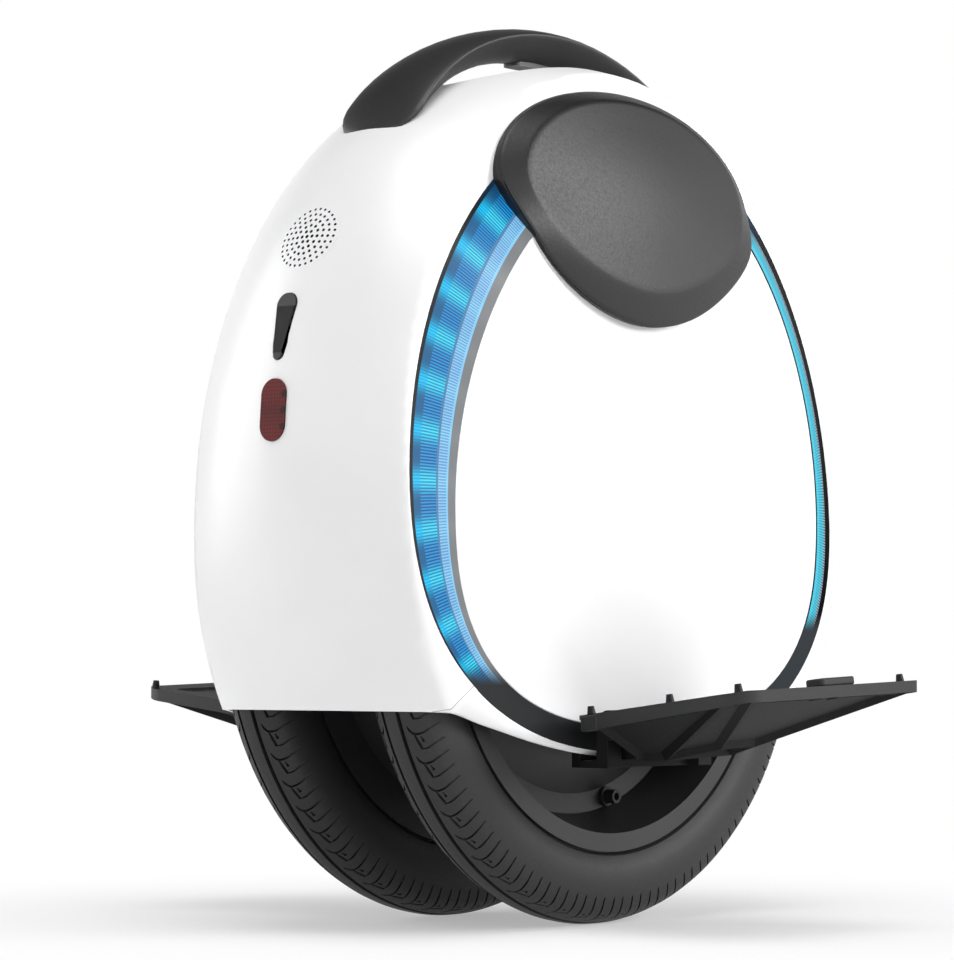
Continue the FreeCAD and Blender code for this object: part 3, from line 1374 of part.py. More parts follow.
# Inside the shell
def sector(start, end, inner, outer, half):
    """A block bent round the axle, between two turns counted from straight ahead."""
    centre = vector(-s.axle_setback.value, -number(half), number(axle_height))
    solid = Part.makeCylinder(number(outer), number(half) * 2, centre, vector(0, 1, 0), end - start)
    solid = solid.cut(Part.makeCylinder(number(inner), number(half) * 2, centre, vector(0, 1, 0))).Solids[0]
    solid.rotate(centre, vector(0, 1, 0), turn_of(solid, centre) - (start + end) / 2)
    return solid


def turn_of(solid, centre):
    """Turn of a solid's middle round the axle, counted from straight ahead and upwards."""
    away = solid.CenterOfMass - centre
    return math.degrees(math.atan2(away.z, away.x))


def wheel_liner(name):
    """An arch over the wheel, with a web at each end that reaches the shell."""
    half = hanger_face - s.close_gap * 5
    centre = vector(-s.axle_setback.value, -number(half), number(axle_height))
    arch = Part.makeCylinder(number(liner_outer), number(half) * 2, centre, vector(0, 1, 0))
    inside = Part.makeCylinder(number(liner_radius), number(half) * 2, centre, vector(0, 1, 0))
    reach = number(crown_half * 2)
    end = s.liner_end.value
    web = Part.makeBox(reach, number(half) * 2, s.liner_wall.value, vector(-reach / 2, -number(half), end))
    below = Part.makeBox(reach, number(half) * 2, end, vector(-reach / 2, -number(half), 0))
    liner = arch.fuse(web).cut([inside, below]).common(shell_form(s.wall + s.close_gap * 3))
    tray_inside = side_plane(guide_back + s.close_gap + s.tray_wall + s.seam)
    tray_room = ring_egg.prism(tray_inside, side_plane(-s.lens_wall * 4), s.tray_flange + s.seam, 9)
    solids = sorted(drill(liner, [tray_room, flipped(tray_room)]).Solids, key=lambda solid: solid.Volume)
    return shaped(name, solids[-1])


def battery(name, start, end):
    seat = liner_outer + s.close_gap
    return shaped(name, sector(number(start), number(end), seat, seat + s.pack_depth, s.pack_half))


def heat_sink(name):
    """A finned plate on top of the liner."""
    base = axle_height + liner_outer + s.close_gap
    top = base + s.sink_height
    half, wide = s.sink_half, s.sink_half_width
    block = box(name + "Block", (pedal_middle - half, -wide, base), (pedal_middle + half, wide, top))
    gaps = []
    pitch = wide * 2 / fin_count
    for i in range(fin_count):
        start = -wide + pitch * i + s.fin_width
        gaps.append(box("%sGap%d" % (name, i), (pedal_middle - half - s.overrun, start, base + s.sink_base),
                        (pedal_middle + half + s.overrun, start + pitch - s.fin_width, top + s.overrun)))
    return cut(name, block, *gaps)


board_height = axle_height + liner_outer + s.close_gap + s.sink_height


def controller_board(name):
    return box(name, (pedal_middle - s.sink_half, -s.sink_half_width, board_height),
               (pedal_middle + s.sink_half, s.sink_half_width, board_height + s.board_thickness))


def motor_cable(name):
    """From the axle's end up the hanger's slit, then over the liner to the controller board."""
    x = number(pedal_middle)
    run = number((hanger_face + hanger_back) / 2)
    start = number(axle_height + s.tang_radius + s.close_gap)
    end = number(s.sink_half_width)
    turn_z = number(board_height + s.board_thickness / 2)
    bend = s.cable_bend.value
    corner = vector(x, run - bend, turn_z - bend)
    middle = corner + vector(0, math.sqrt(0.5) * bend, math.sqrt(0.5) * bend)
    first, second = vector(x, run, turn_z - bend), vector(x, run - bend, turn_z)
    edges = [Part.LineSegment(vector(x, run, start), first), Part.Arc(first, middle, second),
             Part.LineSegment(second, vector(x, end, turn_z))]
    path = Part.Wire([edge.toShape() for edge in edges])
    section = Part.Wire([Part.Circle(vector(x, run, start), vector(0, 0, 1), s.cable_radius.value).toShape()])
    return shaped(name, path.makePipeShell([section], True, False))


keep(wheel_liner("wheel_liner"))
keep(battery("battery_rear", s.rear_pack_start, s.rear_pack_end))
keep(battery("battery_front", s.front_pack_start, s.front_pack_end))
keep(heat_sink("heat_sink"))
keep(controller_board("controller_board"))
keep(motor_cable("motor_cable"))


def check_document():
    """Stops if any object failed or any finished piece has no sound solid."""
    doc.recompute()
    for thing in doc.Objects:
        if "Invalid" in thing.State or "Error" in thing.State:
            raise RuntimeError("failed object: " + thing.Name)
    for piece in pieces:
        shape = piece.Shape
        if shape.isNull() or not shape.isValid() or not shape.Solids:
            raise RuntimeError("unsound piece: " + piece.Label)
        if min(solid.Volume for solid in shape.Solids) <= 0:
            raise RuntimeError("inside-out piece: " + piece.Label)


check_document()
os.makedirs("parts", exist_ok=True)
for piece in pieces:
    piece.Shape.exportStep(os.path.join("parts", piece.Label + ".step"))
print(len(pieces), "pieces")
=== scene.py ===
import bpy
import bmesh
import json
import math
from mathutils import Matrix, Vector


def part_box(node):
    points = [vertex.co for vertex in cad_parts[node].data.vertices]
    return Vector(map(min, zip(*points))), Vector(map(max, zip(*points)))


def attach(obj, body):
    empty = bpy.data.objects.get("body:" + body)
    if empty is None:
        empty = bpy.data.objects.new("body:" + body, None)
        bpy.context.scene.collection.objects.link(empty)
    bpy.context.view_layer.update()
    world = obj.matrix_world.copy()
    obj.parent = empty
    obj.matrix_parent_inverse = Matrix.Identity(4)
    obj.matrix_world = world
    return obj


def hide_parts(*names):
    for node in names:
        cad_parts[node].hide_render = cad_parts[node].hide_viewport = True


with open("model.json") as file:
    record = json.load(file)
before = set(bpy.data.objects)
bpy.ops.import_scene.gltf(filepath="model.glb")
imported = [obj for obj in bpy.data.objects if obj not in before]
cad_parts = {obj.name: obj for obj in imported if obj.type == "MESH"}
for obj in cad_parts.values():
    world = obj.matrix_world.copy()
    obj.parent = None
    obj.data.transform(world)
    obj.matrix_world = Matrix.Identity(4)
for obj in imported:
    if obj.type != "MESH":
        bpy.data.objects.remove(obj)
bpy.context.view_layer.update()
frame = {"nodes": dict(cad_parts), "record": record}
scene = bpy.context.scene
mm = 0.001  # pieces are given in millimetres and made in metres
nodes = frame["nodes"]
print("frame loaded:", len(nodes), "nodes")


# Materials

def linearColour(code):
    parts = [int(code[i:i + 2], 16) / 255 for i in (1, 3, 5)]
    return tuple(c / 12.92 if c <= 0.04045 else ((c + 0.055) / 1.055) ** 2.4 for c in parts) + (1.0,)


def addNode(tree, kind, inputs=None, **settings):
    node = tree.nodes.new(kind)
    for name, value in settings.items():
        setattr(node, name, value)
    for key, value in (inputs or {}).items():
        if isinstance(value, bpy.types.NodeSocket):
            tree.links.new(value, node.inputs[key])
        else:
            node.inputs[key].default_value = value
    return node


def newMaterial(name, colour, roughness, **sockets):
    material = bpy.data.materials.new(name)
    material.use_nodes = True
    tree = material.node_tree
    shader = tree.nodes["Principled BSDF"]
    shader.inputs["Base Color"].default_value = linearColour(colour)
    shader.inputs["Roughness"].default_value = roughness
    for key, value in sockets.items():
        shader.inputs[key.replace("_", " ")].default_value = value
    return material, tree, shader


grainLook = {"patch": 60.0, "patchDetail": 2.0, "range": (0.3, 0.7)}  # mm; the noise's usual range


def addGrain(tree, shader, sizeMm, depthMm, colours, roughness, detail=3.0):
    # on Object coordinates, a fine noise drives bump and roughness and a broad one a slight drift of colour
    place = addNode(tree, "ShaderNodeTexCoord").outputs["Object"]
    fine = addNode(tree, "ShaderNodeTexNoise", {"Vector": place, "Scale": 1 / (sizeMm * mm),
                                                "Detail": detail})
    broad = addNode(tree, "ShaderNodeTexNoise", {"Vector": place, "Scale": 1 / (grainLook["patch"] * mm),
                                                 "Detail": grainLook["patchDetail"]})
    ramp = addNode(tree, "ShaderNodeValToRGB", {"Fac": broad.outputs["Fac"]})
    for stop, position, colour in zip(ramp.color_ramp.elements, grainLook["range"], colours):
        stop.position = position
        stop.color = linearColour(colour)
    least, most = grainLook["range"]
    spread = addNode(tree, "ShaderNodeMapRange", {"Value": fine.outputs["Fac"], "From Min": least,
                                                  "From Max": most, "To Min": roughness[0],
                                                  "To Max": roughness[1]})
    bump = addNode(tree, "ShaderNodeBump", {"Height": fine.outputs["Fac"], "Distance": depthMm * mm})
    tree.links.new(ramp.outputs["Color"], shader.inputs["Base Color"])
    tree.links.new(spread.outputs["Result"], shader.inputs["Roughness"])
    tree.links.new(bump.outputs["Normal"], shader.inputs["Normal"])


# Gloss-moulded white ABS: smooth, with a faint orange peel that softens its highlights.
def whiteAbs():
    material, tree, shader = newMaterial("gloss_white_abs", "#f4f4f5", 0.3, IOR=1.53)
    addGrain(tree, shader, 2.5, 0.0012, ("#f3f3f4", "#f6f6f7"), (0.29, 0.32), 1.0)
    return material


# Satin black nylon of the handle: fine spark-eroded grain, a little sheen.
def satinNylon():
    material, tree, shader = newMaterial("satin_black_nylon", "#1b1b1d", 0.42, IOR=1.53)
    addGrain(tree, shader, 0.9, 0.03, ("#262627", "#2b2b2c"), (0.38, 0.48))
    return material


pebbleLook = {
    "cell": 1.5, "wrinkle": 2.6, "depth": 0.1,  # mm, drawn larger than real so that the cells show
    "uneven": 0.9, "strength": 0.4, "cellEdge": 0.8, "roughness": (0.38, 0.5),
}


# Pebbled leatherette: black and soft, with small rounded cells that each catch a dull glint.
def pebbledLeather():
    material, tree, shader = newMaterial("pebbled_black_leatherette", "#101011", 0.5, IOR=1.5,
                                         Specular_IOR_Level=0.5)
    place = addNode(tree, "ShaderNodeTexCoord").outputs["Object"]
    cells = addNode(tree, "ShaderNodeTexVoronoi", {"Vector": place, "Scale": 1 / (pebbleLook["cell"] * mm),
                                                   "Randomness": pebbleLook["uneven"]}, feature="SMOOTH_F1")
    wrinkle = addNode(tree, "ShaderNodeTexNoise", {"Vector": place, "Scale": 1 / (pebbleLook["wrinkle"] * mm),
                                                   "Detail": 4.0})
    height = addNode(tree, "ShaderNodeMath", {0: cells.outputs["Distance"], 1: wrinkle.outputs["Fac"]},
                     operation="ADD")
    bump = addNode(tree, "ShaderNodeBump", {"Height": height.outputs["Value"],
                                            "Distance": pebbleLook["depth"] * mm,
                                            "Strength": pebbleLook["strength"]})
    glint, edge = pebbleLook["roughness"]
    spread = addNode(tree, "ShaderNodeMapRange", {"Value": cells.outputs["Distance"],
                                                  "From Max": pebbleLook["cellEdge"],
                                                  "To Min": glint, "To Max": edge})
    tree.links.new(bump.outputs["Normal"], shader.inputs["Normal"])
    tree.links.new(spread.outputs["Result"], shader.inputs["Roughness"])
    return material


# Black natural rubber: matte and dusty, a little uneven in tone.
def tyreRubber():
    material, tree, shader = newMaterial("black_tyre_rubber", "#1c1c1d", 0.72, IOR=1.52)
    addGrain(tree, shader, 0.8, 0.04, ("#141415", "#19191a"), (0.5, 0.66))
    return material


# Coated and moulded finishes: satin and even, broken up by a fine texture.
def evenFinish(name, colours, roughness, sheen=0.5):
    material, tree, shader = newMaterial(name, colours[0], roughness[0], Specular_IOR_Level=sheen)
    addGrain(tree, shader, 0.7, 0.03, colours, roughness)
    return material


brushLook = {"across": 0.4, "along": 12.0, "shares": (0.8, 1.3)}  # mm; least and most of the roughness


# Bare metals inside: bright, brushed along the axle.
def bareMetal(name, colour, roughness):
    material, tree, shader = newMaterial(name, colour, roughness, Metallic=1.0)
    place = addNode(tree, "ShaderNodeTexCoord").outputs["Object"]
    fine, long = 1 / (brushLook["across"] * mm), 1 / (brushLook["along"] * mm)
    stretch = addNode(tree, "ShaderNodeMapping", {"Vector": place, "Scale": (fine, long, fine)})
    brush = addNode(tree, "ShaderNodeTexNoise", {"Vector": stretch.outputs["Vector"], "Scale": 1.0,
                                                 "Detail": 2.0})
    least, most = brushLook["shares"]
    spread = addNode(tree, "ShaderNodeMapRange", {"Value": brush.outputs["Fac"], "To Min": roughness * least,
                                                  "To Max": roughness * most})
    tree.links.new(spread.outputs["Result"], shader.inputs["Roughness"])
    return material


tailLight = {
    "cell": 2.0, "depth": 0.12,  # mm, moulded prism cells, drawn coarser than the real ones so that they show
    "uneven": 0.1, "strength": 0.3, "cellMiddle": "#762221", "cellEdge": "#2c0b0b",
    "ledY": -7.5, "ledRadius": 2.3,  # mm, dark diodes behind the lens
    "ledShares": (0.27, 0.5, 0.73), "ledCore": 0.7, "ledDark": 0.8, "ledColour": "#170606",
}


# Red polycarbonate reflector lens: a honeycomb of moulded prisms, with three dark diodes behind it.
def redPrism():
    material, tree, shader = newMaterial("red_prism_polycarbonate", "#5c1a1a", 0.34, IOR=1.58,
                                         Specular_IOR_Level=0.12)
    low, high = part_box("tail_lens")
    place = addNode(tree, "ShaderNodeTexCoord").outputs["Object"]
    cells = addNode(tree, "ShaderNodeTexVoronoi", {"Vector": place, "Scale": 1 / (tailLight["cell"] * mm),
                                                   "Randomness": tailLight["uneven"]})
    ramp = addNode(tree, "ShaderNodeValToRGB", {"Fac": cells.outputs["Distance"]})
    ramp.color_ramp.elements[0].color = linearColour(tailLight["cellMiddle"])
    ramp.color_ramp.elements[1].color = linearColour(tailLight["cellEdge"])
    colour = ramp.outputs["Color"]
    flat = addNode(tree, "ShaderNodeVectorMath", {0: place, 1: (0, 1, 1)}, operation="MULTIPLY")
    radius = tailLight["ledRadius"] * mm
    for share in tailLight["ledShares"]:
        led = (0, tailLight["ledY"] * mm, high[2] + (low[2] - high[2]) * share)
        away = addNode(tree, "ShaderNodeVectorMath", {0: flat.outputs["Vector"], 1: led},
                       operation="DISTANCE")
        near = addNode(tree, "ShaderNodeMapRange", {"Value": away.outputs["Value"], "From Max": radius,
                                                    "From Min": radius * tailLight["ledCore"],
                                                    "To Min": tailLight["ledDark"], "To Max": 0.0})
        colour = addNode(tree, "ShaderNodeMix", {"Factor": near.outputs["Result"], 6: colour,
                                                 7: linearColour(tailLight["ledColour"])},
                         data_type="RGBA").outputs[2]
    bump = addNode(tree, "ShaderNodeBump", {"Height": cells.outputs["Distance"],
                                            "Distance": tailLight["depth"] * mm,
                                            "Strength": tailLight["strength"]})
    tree.links.new(colour, shader.inputs["Base Color"])
    tree.links.new(bump.outputs["Normal"], shader.inputs["Normal"])
    return material


# Clear polycarbonate of the head light: pale, with a sharp highlight.
def clearLens():
    material, tree, shader = newMaterial("clear_polycarbonate", "#dfe6ea", 0.06, IOR=1.58)
    addGrain(tree, shader, 4.0, 0.02, ("#d5dde2", "#e6ecef"), (0.05, 0.09))
    return material


lightRing = {
    "tickPitch": 1.75, "spotPitch": 27.5,  # mm along the ring
    "tickShare": 0.52, "spotShare": 0.85,
    "litLow": 131.0, "litFade": 13.0, "frontRise": 30.0,  # mm, the light's rear end; higher in front
    "topDark": 380.0, "topFade": 24.0, "topColour": "#0b2f4a",  # mm, where the ring darkens to navy towards the pad
    "frontX": (-40.0, 120.0),  # mm, where the rear's look gives way to the front's
    "frontShift": 0.34, "frontStretch": 1.22,  # in front the dark outer wall is broader
    # unlit, the rear stays black and the front glows grey: a painted reflection, where the lowered index
    # takes the real one away
    "unlitRear": "#000000", "unlitFrontReflection": "#3a3e41",
    "roughness": (0.5, 0.18), "index": (1.58, 1.03),  # unlit to lit; rear to front
    "stops": (0.0, 0.06, 0.22, 0.57, 0.61, 0.79, 0.83),  # bands from the outer edge to the panel
    "bands": {  # each band's colour between the ticks, then on them
        "plain": (("#0a0d10", "#146294", "#0a5390", "#4f82ae", "#6398ca", "#86caf3", "#7d8083"),
                  ("#0a0d10", "#146294", "#1f97dc", "#4f82ae", "#8ac9f4", "#86caf3", "#7d8083")),
        "diode": (("#0a1418", "#00b0f8", "#2496cc", "#4d86b2", "#6aa6d6", "#8fd6fa", "#83878a"),
                  ("#0a1418", "#10dcff", "#45f0ff", "#4d86b2", "#92d6fb", "#8fd6fa", "#83878a")),
        "front": (("#000000", "#51626e", "#3aa9c6", "#45b8d2", "#4cc3dc", "#45b8d2", "#08090a"),
                  ("#000000", "#a3b2bc", "#58cbe2", "#5ad0e6", "#62d8ee", "#52c6de", "#08090a")),
    },
}


# Smoky polycarbonate over an edge-lit guide: fine cyan ticks, brighter at each diode, a grey inner border.
def litPolycarbonate():
    material, tree, shader = newMaterial("edge_lit_smoky_polycarbonate", "#0b0d10", 0.2, IOR=1.58,
                                         Specular_IOR_Level=0.3, Emission_Strength=1.0)
    uv = addNode(tree, "ShaderNodeUVMap", uv_map="ring").outputs["UV"]
    ring = addNode(tree, "ShaderNodeSeparateXYZ", {"Vector": uv}).outputs  # along it, then inward
    here = addNode(tree, "ShaderNodeTexCoord").outputs["Object"]
    place = addNode(tree, "ShaderNodeSeparateXYZ", {"Vector": here}).outputs

    rear, front = lightRing["frontX"]
    ahead = addNode(tree, "ShaderNodeMapRange", {"Value": place["X"], "From Min": rear * mm,
                                                 "From Max": front * mm},
                    interpolation_type="SMOOTHSTEP").outputs["Result"]
    stretch = addNode(tree, "ShaderNodeMath", {0: ahead, 1: lightRing["frontStretch"] - 1.0, 2: 1.0},
                      operation="MULTIPLY_ADD")
    wide = addNode(tree, "ShaderNodeMath", {0: ring["Y"], 1: stretch.outputs["Value"]}, operation="MULTIPLY")
    inward = addNode(tree, "ShaderNodeMath", {0: ahead, 1: -lightRing["frontShift"],
                                              2: wide.outputs["Value"]},
                     operation="MULTIPLY_ADD").outputs["Value"]

    pitch = addNode(tree, "ShaderNodeMath", {0: ring["X"], 1: lightRing["tickPitch"]}, operation="DIVIDE")
    within = addNode(tree, "ShaderNodeMath", {0: pitch.outputs["Value"]}, operation="FRACT")
    tick = addNode(tree, "ShaderNodeMath", {0: within.outputs["Value"], 1: lightRing["tickShare"]},
                   operation="LESS_THAN").outputs["Value"]
    turn = addNode(tree, "ShaderNodeMath", {0: ring["X"], 1: math.tau / lightRing["spotPitch"]},
                   operation="MULTIPLY")
    wave = addNode(tree, "ShaderNodeMath", {0: turn.outputs["Value"]}, operation="COSINE")
    swell = addNode(tree, "ShaderNodeMath", {0: wave.outputs["Value"], 1: 0.5, 2: 0.5},
                    operation="MULTIPLY_ADD")
    peak = addNode(tree, "ShaderNodeMath", {0: swell.outputs["Value"], 1: 2.0}, operation="POWER")
    diode = addNode(tree, "ShaderNodeMath", {0: peak.outputs["Value"], 1: lightRing["spotShare"]},
                    operation="MULTIPLY").outputs["Value"]

    glow = {}
    for look, rows in lightRing["bands"].items():
        colours = []
        for row in rows:
            ramp = addNode(tree, "ShaderNodeValToRGB", {"Fac": inward})
            stops = ramp.color_ramp.elements
            ramp.color_ramp.interpolation = "CONSTANT"
            while len(stops) < len(lightRing["stops"]):
                stops.new(1.0)
            for stop, position, colour in zip(stops, lightRing["stops"], row):
                stop.position = position
                stop.color = linearColour(colour)
            colours.append(ramp.outputs["Color"])
        glow[look] = addNode(tree, "ShaderNodeMix", {"Factor": tick, 6: colours[0], 7: colours[1]},
                             data_type="RGBA").outputs[2]
    atRear = addNode(tree, "ShaderNodeMix", {"Factor": diode, 6: glow["plain"], 7: glow["diode"]},
                     data_type="RGBA")
    guide = addNode(tree, "ShaderNodeMix", {"Factor": ahead, 6: atRear.outputs[2], 7: glow["front"]},
                    data_type="RGBA")

    top, low = lightRing["topDark"], lightRing["litLow"]
    high = addNode(tree, "ShaderNodeMapRange", {"Value": place["Z"], "From Min": top * mm,
                                                "From Max": (top + lightRing["topFade"]) * mm},
                   interpolation_type="SMOOTHSTEP")
    upper = addNode(tree, "ShaderNodeMix", {"Factor": high.outputs["Result"], 6: guide.outputs[2],
                                            7: linearColour(lightRing["topColour"])}, data_type="RGBA")
    level = addNode(tree, "ShaderNodeMath", {0: ahead, 1: -lightRing["frontRise"] * mm, 2: place["Z"]},
                    operation="MULTIPLY_ADD")
    lit = addNode(tree, "ShaderNodeMapRange", {"Value": level.outputs["Value"], "From Min": low * mm,
                                               "From Max": (low + lightRing["litFade"]) * mm},
                  interpolation_type="SMOOTHSTEP").outputs["Result"]
    # the grey glow of the unlit front is a painted reflection
    unlit = addNode(tree, "ShaderNodeMix", {"Factor": ahead, 6: linearColour(lightRing["unlitRear"]),
                                            7: linearColour(lightRing["unlitFrontReflection"])}, data_type="RGBA")
    shining = addNode(tree, "ShaderNodeMix", {"Factor": lit, 6: unlit.outputs[2], 7: upper.outputs[2]},
                      data_type="RGBA")
    spread = addNode(tree, "ShaderNodeMapRange", {"Value": lit, "To Min": lightRing["roughness"][0],
                                                  "To Max": lightRing["roughness"][1]})
    gloss = addNode(tree, "ShaderNodeMapRange", {"Value": ahead, "To Min": lightRing["index"][0],
                                                 "To Max": lightRing["index"][1]})
    tree.links.new(shining.outputs[2], shader.inputs["Emission Color"])
    tree.links.new(spread.outputs["Result"], shader.inputs["Roughness"])
    tree.links.new(gloss.outputs["Result"], shader.inputs["IOR"])
    return material


white = whiteAbs()
nylon = satinNylon()
leather = pebbledLeather()
rubber = tyreRubber()
litLens = litPolycarbonate()
redLens = redPrism()
clear = clearLens()
softBlack = evenFinish("moulded_black_abs", ("#161617", "#1c1c1d"), (0.55, 0.68))
rimCoat = evenFinish("satin_powder_coat", ("#1f1f20", "#252526"), (0.42, 0.52))
drumCoat = evenFinish("black_powder_coat", ("#1a1a1b", "#202021"), (0.4, 0.52))
pedalCoat = evenFinish("textured_powder_coat", ("#171718", "#1f1f20"), (0.5, 0.62))
# a darker, duller copy of the pedals' black coat: painted shade for their undersides, their bellies and the
# hangers
shadedCastBlack = evenFinish("black_cast_aluminium_painted_shade", ("#0b0b0c", "#101011"), (0.58, 0.7), 0.22)
flapRubber = evenFinish("moulded_silicone_rubber", ("#333334", "#3a3a3b"), (0.6, 0.72))
greyAbs = evenFinish("grey_abs", ("#4a4a4c", "#525254"), (0.4, 0.5))
boardResin = evenFinish("green_board_resin", ("#12391f", "#184a29"), (0.35, 0.5))
wrapFilm = evenFinish("blue_shrink_film", ("#1b2f63", "#213a78"), (0.3, 0.45))
steel = bareMetal("turned_steel", "#b4b4b6", 0.3)
coreSteel = bareMetal("laminated_core_steel", "#6e7075", 0.45)
copper = bareMetal("enamelled_copper", "#b8693c", 0.35)
acrylic = evenFinish("clear_acrylic", ("#c4d2da", "#cfdbe2"), (0.12, 0.18))
aluminium = bareMetal("extruded_aluminium", "#c9cacc", 0.35)
darkSteel = bareMetal("blackened_steel", "#2c2c2e", 0.4)

# The hangers take the darker black: painted shade.
nodeFinish = {
    "main_shell": white, "lower_skirt": white, "side_panel": white, "ring_lens": litLens,
    "light_guide": acrylic, "panel_tray": softBlack, "leg_pad": leather, "handle": nylon,
    "lift_switch": greyAbs, "power_button": greyAbs, "speaker_grille": white, "speaker_driver": softBlack,
    "charge_flap": flapRubber, "charge_socket": softBlack, "tail_lens": redLens, "tail_board": boardResin,
    "head_lens": clear, "head_board": boardResin, "wheel_liner": softBlack, "battery_front": wrapFilm,
    "battery_rear": wrapFilm, "controller_board": boardResin, "heat_sink": aluminium, "hanger": shadedCastBlack,
    "axle": steel, "stator_core": coreSteel, "stator_coils": copper, "rotor_drum": drumCoat,
    "rotor_magnets": steel, "motor_cover": drumCoat, "bearing": steel, "rim": rimCoat, "tyre": rubber,
    "inner_tube": rubber, "valve_stem": softBlack, "pedal": pedalCoat, "pedal_pin": steel,
    "pedal_studs": darkSteel, "pedal_block": softBlack, "hanger_bolts": steel, "motor_cable": softBlack,
}


def finishOf(node):
    for side in ("_left", "_right"):
        node = node.removesuffix(side)
    return nodeFinish[node]


for name, node in nodes.items():
    node.data.materials.clear()
    node.data.materials.append(finishOf(name))
print("materials:", len(bpy.data.materials))


# Pieces

def bodyOf(node):
    return next(body for body, held in frame["record"]["behaviour"]["bodies"].items() if node in held)


def addPiece(name, bm, node, material, smooth, soft=None):
    # edges flatter than smooth, in degrees, or that soft picks, shade as one curve
    for edge in bm.edges:
        edge.smooth = edge.calc_face_angle(math.pi) < math.radians(smooth) or bool(soft and soft(edge))
    for face in bm.faces:
        face.smooth = True
    mesh = bpy.data.meshes.new(name)
    bm.to_mesh(mesh)
    bm.free()
    mesh.materials.append(material)
    piece = bpy.data.objects.new(name, mesh)
    scene.collection.objects.link(piece)
    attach(piece, bodyOf(node))
    return piece


sides = (("left", 1), ("right", -1))
weldGap = 0.004  # mm, corners of loose triangles nearer than this are one


# CAD forms whose loose triangles are merged, so that their curves shade smoothly.
def mergedCopy(node):
    bm = bmesh.new()
    bm.from_mesh(nodes[node].data)
    bmesh.ops.remove_doubles(bm, verts=bm.verts, dist=weldGap * mm)
    return bm


def dress(node, bm, smooth=32, soft=None):
    piece = addPiece(node + "_smooth", bm, node, finishOf(node), smooth, soft)
    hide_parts(node)
    return piece


smoothNodes = ("rim_left", "rim_right", "motor_cover_left", "motor_cover_right", "rotor_drum",
               "pedal_studs_left", "pedal_studs_right", "valve_stem_left", "valve_stem_right", "power_button",
               "lift_switch", "side_panel_left", "side_panel_right")
flatNodes = ("tail_lens", "head_lens")  # broad flat faces with a narrow edge
for node in smoothNodes:
    dress(node, mergedCopy(node))
for node in flatNodes:
    dress(node, mergedCopy(node), smooth=10)
print("smoothed copies:", len(smoothNodes) + len(flatNodes))


def eggPoint(egg, turn):
    across, up = math.cos(turn), math.sin(turn)
    power = 2 / egg["upper" if up >= 0 else "lower"]
    reach = egg["rise" if up >= 0 else "drop"]
    x = math.copysign(abs(across) ** power, across) * egg["half"]
    ahead = egg["shift"] + egg["lean"] * max(0.0, up) ** (2 * power)  # the upper half leans forwards
    return x + ahead, egg["middle"] + math.copysign(abs(up) ** power, up) * reach


def eggLoop(bm, egg, steps, sideAt):
    # an egg outline bent onto the surface that sideAt gives, as a closed loop of edges
    verts = bmesh.ops.create_circle(bm, segments=steps, radius=1)["verts"]
    for vert in verts:
        x, z = eggPoint(egg, math.atan2(vert.co.y, vert.co.x))
        vert.co = Vector((x, sideAt(z), z)) * mm
    return list({edge for vert in verts for edge in vert.link_edges}), verts


def mirrorTo(bm, way):
    if way < 0:
        bmesh.ops.scale(bm, vec=(1, -1, 1), verts=bm.verts)
    bmesh.ops.recalc_face_normals(bm, faces=bm.faces)


# The raised ring between shell and panel, in mm.
ringShape = {
    "outer": {"half": 185.5, "middle": 233.0, "rise": 212.0, "drop": 138.5, "upper": 2.0, "lower": 2.39,
              "shift": 0.0, "lean": 8.0},
    "inner": {"half": 160.7, "middle": 227.0, "rise": 191.2, "drop": 119.2, "upper": 1.89, "lower": 2.61,
              "shift": 1.7, "lean": 8.0},
    "sideY": 77.7, "sideLevel": 220.0, "sideLean": 0.05,  # the shell's side plane, which leans in
    "faceY": 84.7, "wall": 2.6, "steps": 360,
    "behind": 2.5, "lip": 2.0, "meanRadius": 190.0,  # mm, how far its edges turn in; for lengths along it
}


def shellSide(z):
    return ringShape["sideY"] - ringShape["sideLean"] * (z - ringShape["sideLevel"])


# Shell: its side edges roll in towards the bottom corners, as moulded, and its shoulders shade as one curve.
shellCorner = {
    "top": 205.0, "drop": 88.0, "tuck": 11.0, "startX": 138.0, "endX": 170.0, "sideY": 78.0,  # mm
    "shoulderReach": 0.6, "slopes": (-0.15, 0.3),  # mm from the side; its faces' least outward lean
}
flapHinge = {
    "x": -201.72, "z": 305.14, "radius": 1.4, "nearY": 2.6, "farY": 9.0,  # mm, the pin and its holes
    "leafY": 6.6, "sink": 0.5, "heel": 4.0,  # mm
    "heelShare": 0.84, "outerLean": -0.3,
}


def tuckCorners(bm):
    for vert in bm.verts:
        x, y, z = vert.co / mm
        down = min(1.0, max(0.0, (shellCorner["top"] - z) / shellCorner["drop"]))
        out = (abs(x) - shellCorner["startX"]) / (shellCorner["endX"] - shellCorner["startX"])
        out = min(1.0, max(0.0, out))
        share = down ** 2 * out * (y / shellCorner["sideY"]) ** 2
        vert.co.x -= math.copysign(shellCorner["tuck"] * share, x) * mm


def onShoulder(edge):
    if len(edge.link_faces) != 2:
        return False
    x, y, z = (edge.verts[0].co + edge.verts[1].co) / (2 * mm)
    if abs(abs(y) - shellSide(z)) > shellCorner["shoulderReach"]:
        return False
    outward = Vector((x, 0, z - ringShape["outer"]["middle"])).normalized()
    slopes = sorted(face.normal.dot(outward) for face in edge.link_faces)
    return all(slope > least for slope, least in zip(slopes, shellCorner["slopes"]))


def dropPinHoles(bm):
    def inHole(vert):
        x, y, z = vert.co / mm
        away = math.hypot(x - flapHinge["x"], z - flapHinge["z"])
        return away < flapHinge["radius"] and flapHinge["nearY"] < abs(y) < flapHinge["farY"]

    bmesh.ops.delete(bm, geom=[vert for vert in bm.verts if inHole(vert)], context="VERTS")
    bmesh.ops.holes_fill(bm, edges=[edge for edge in bm.edges if edge.is_boundary], sides=0)
    bmesh.ops.triangulate(bm, faces=[face for face in bm.faces if len(face.verts) > 3])


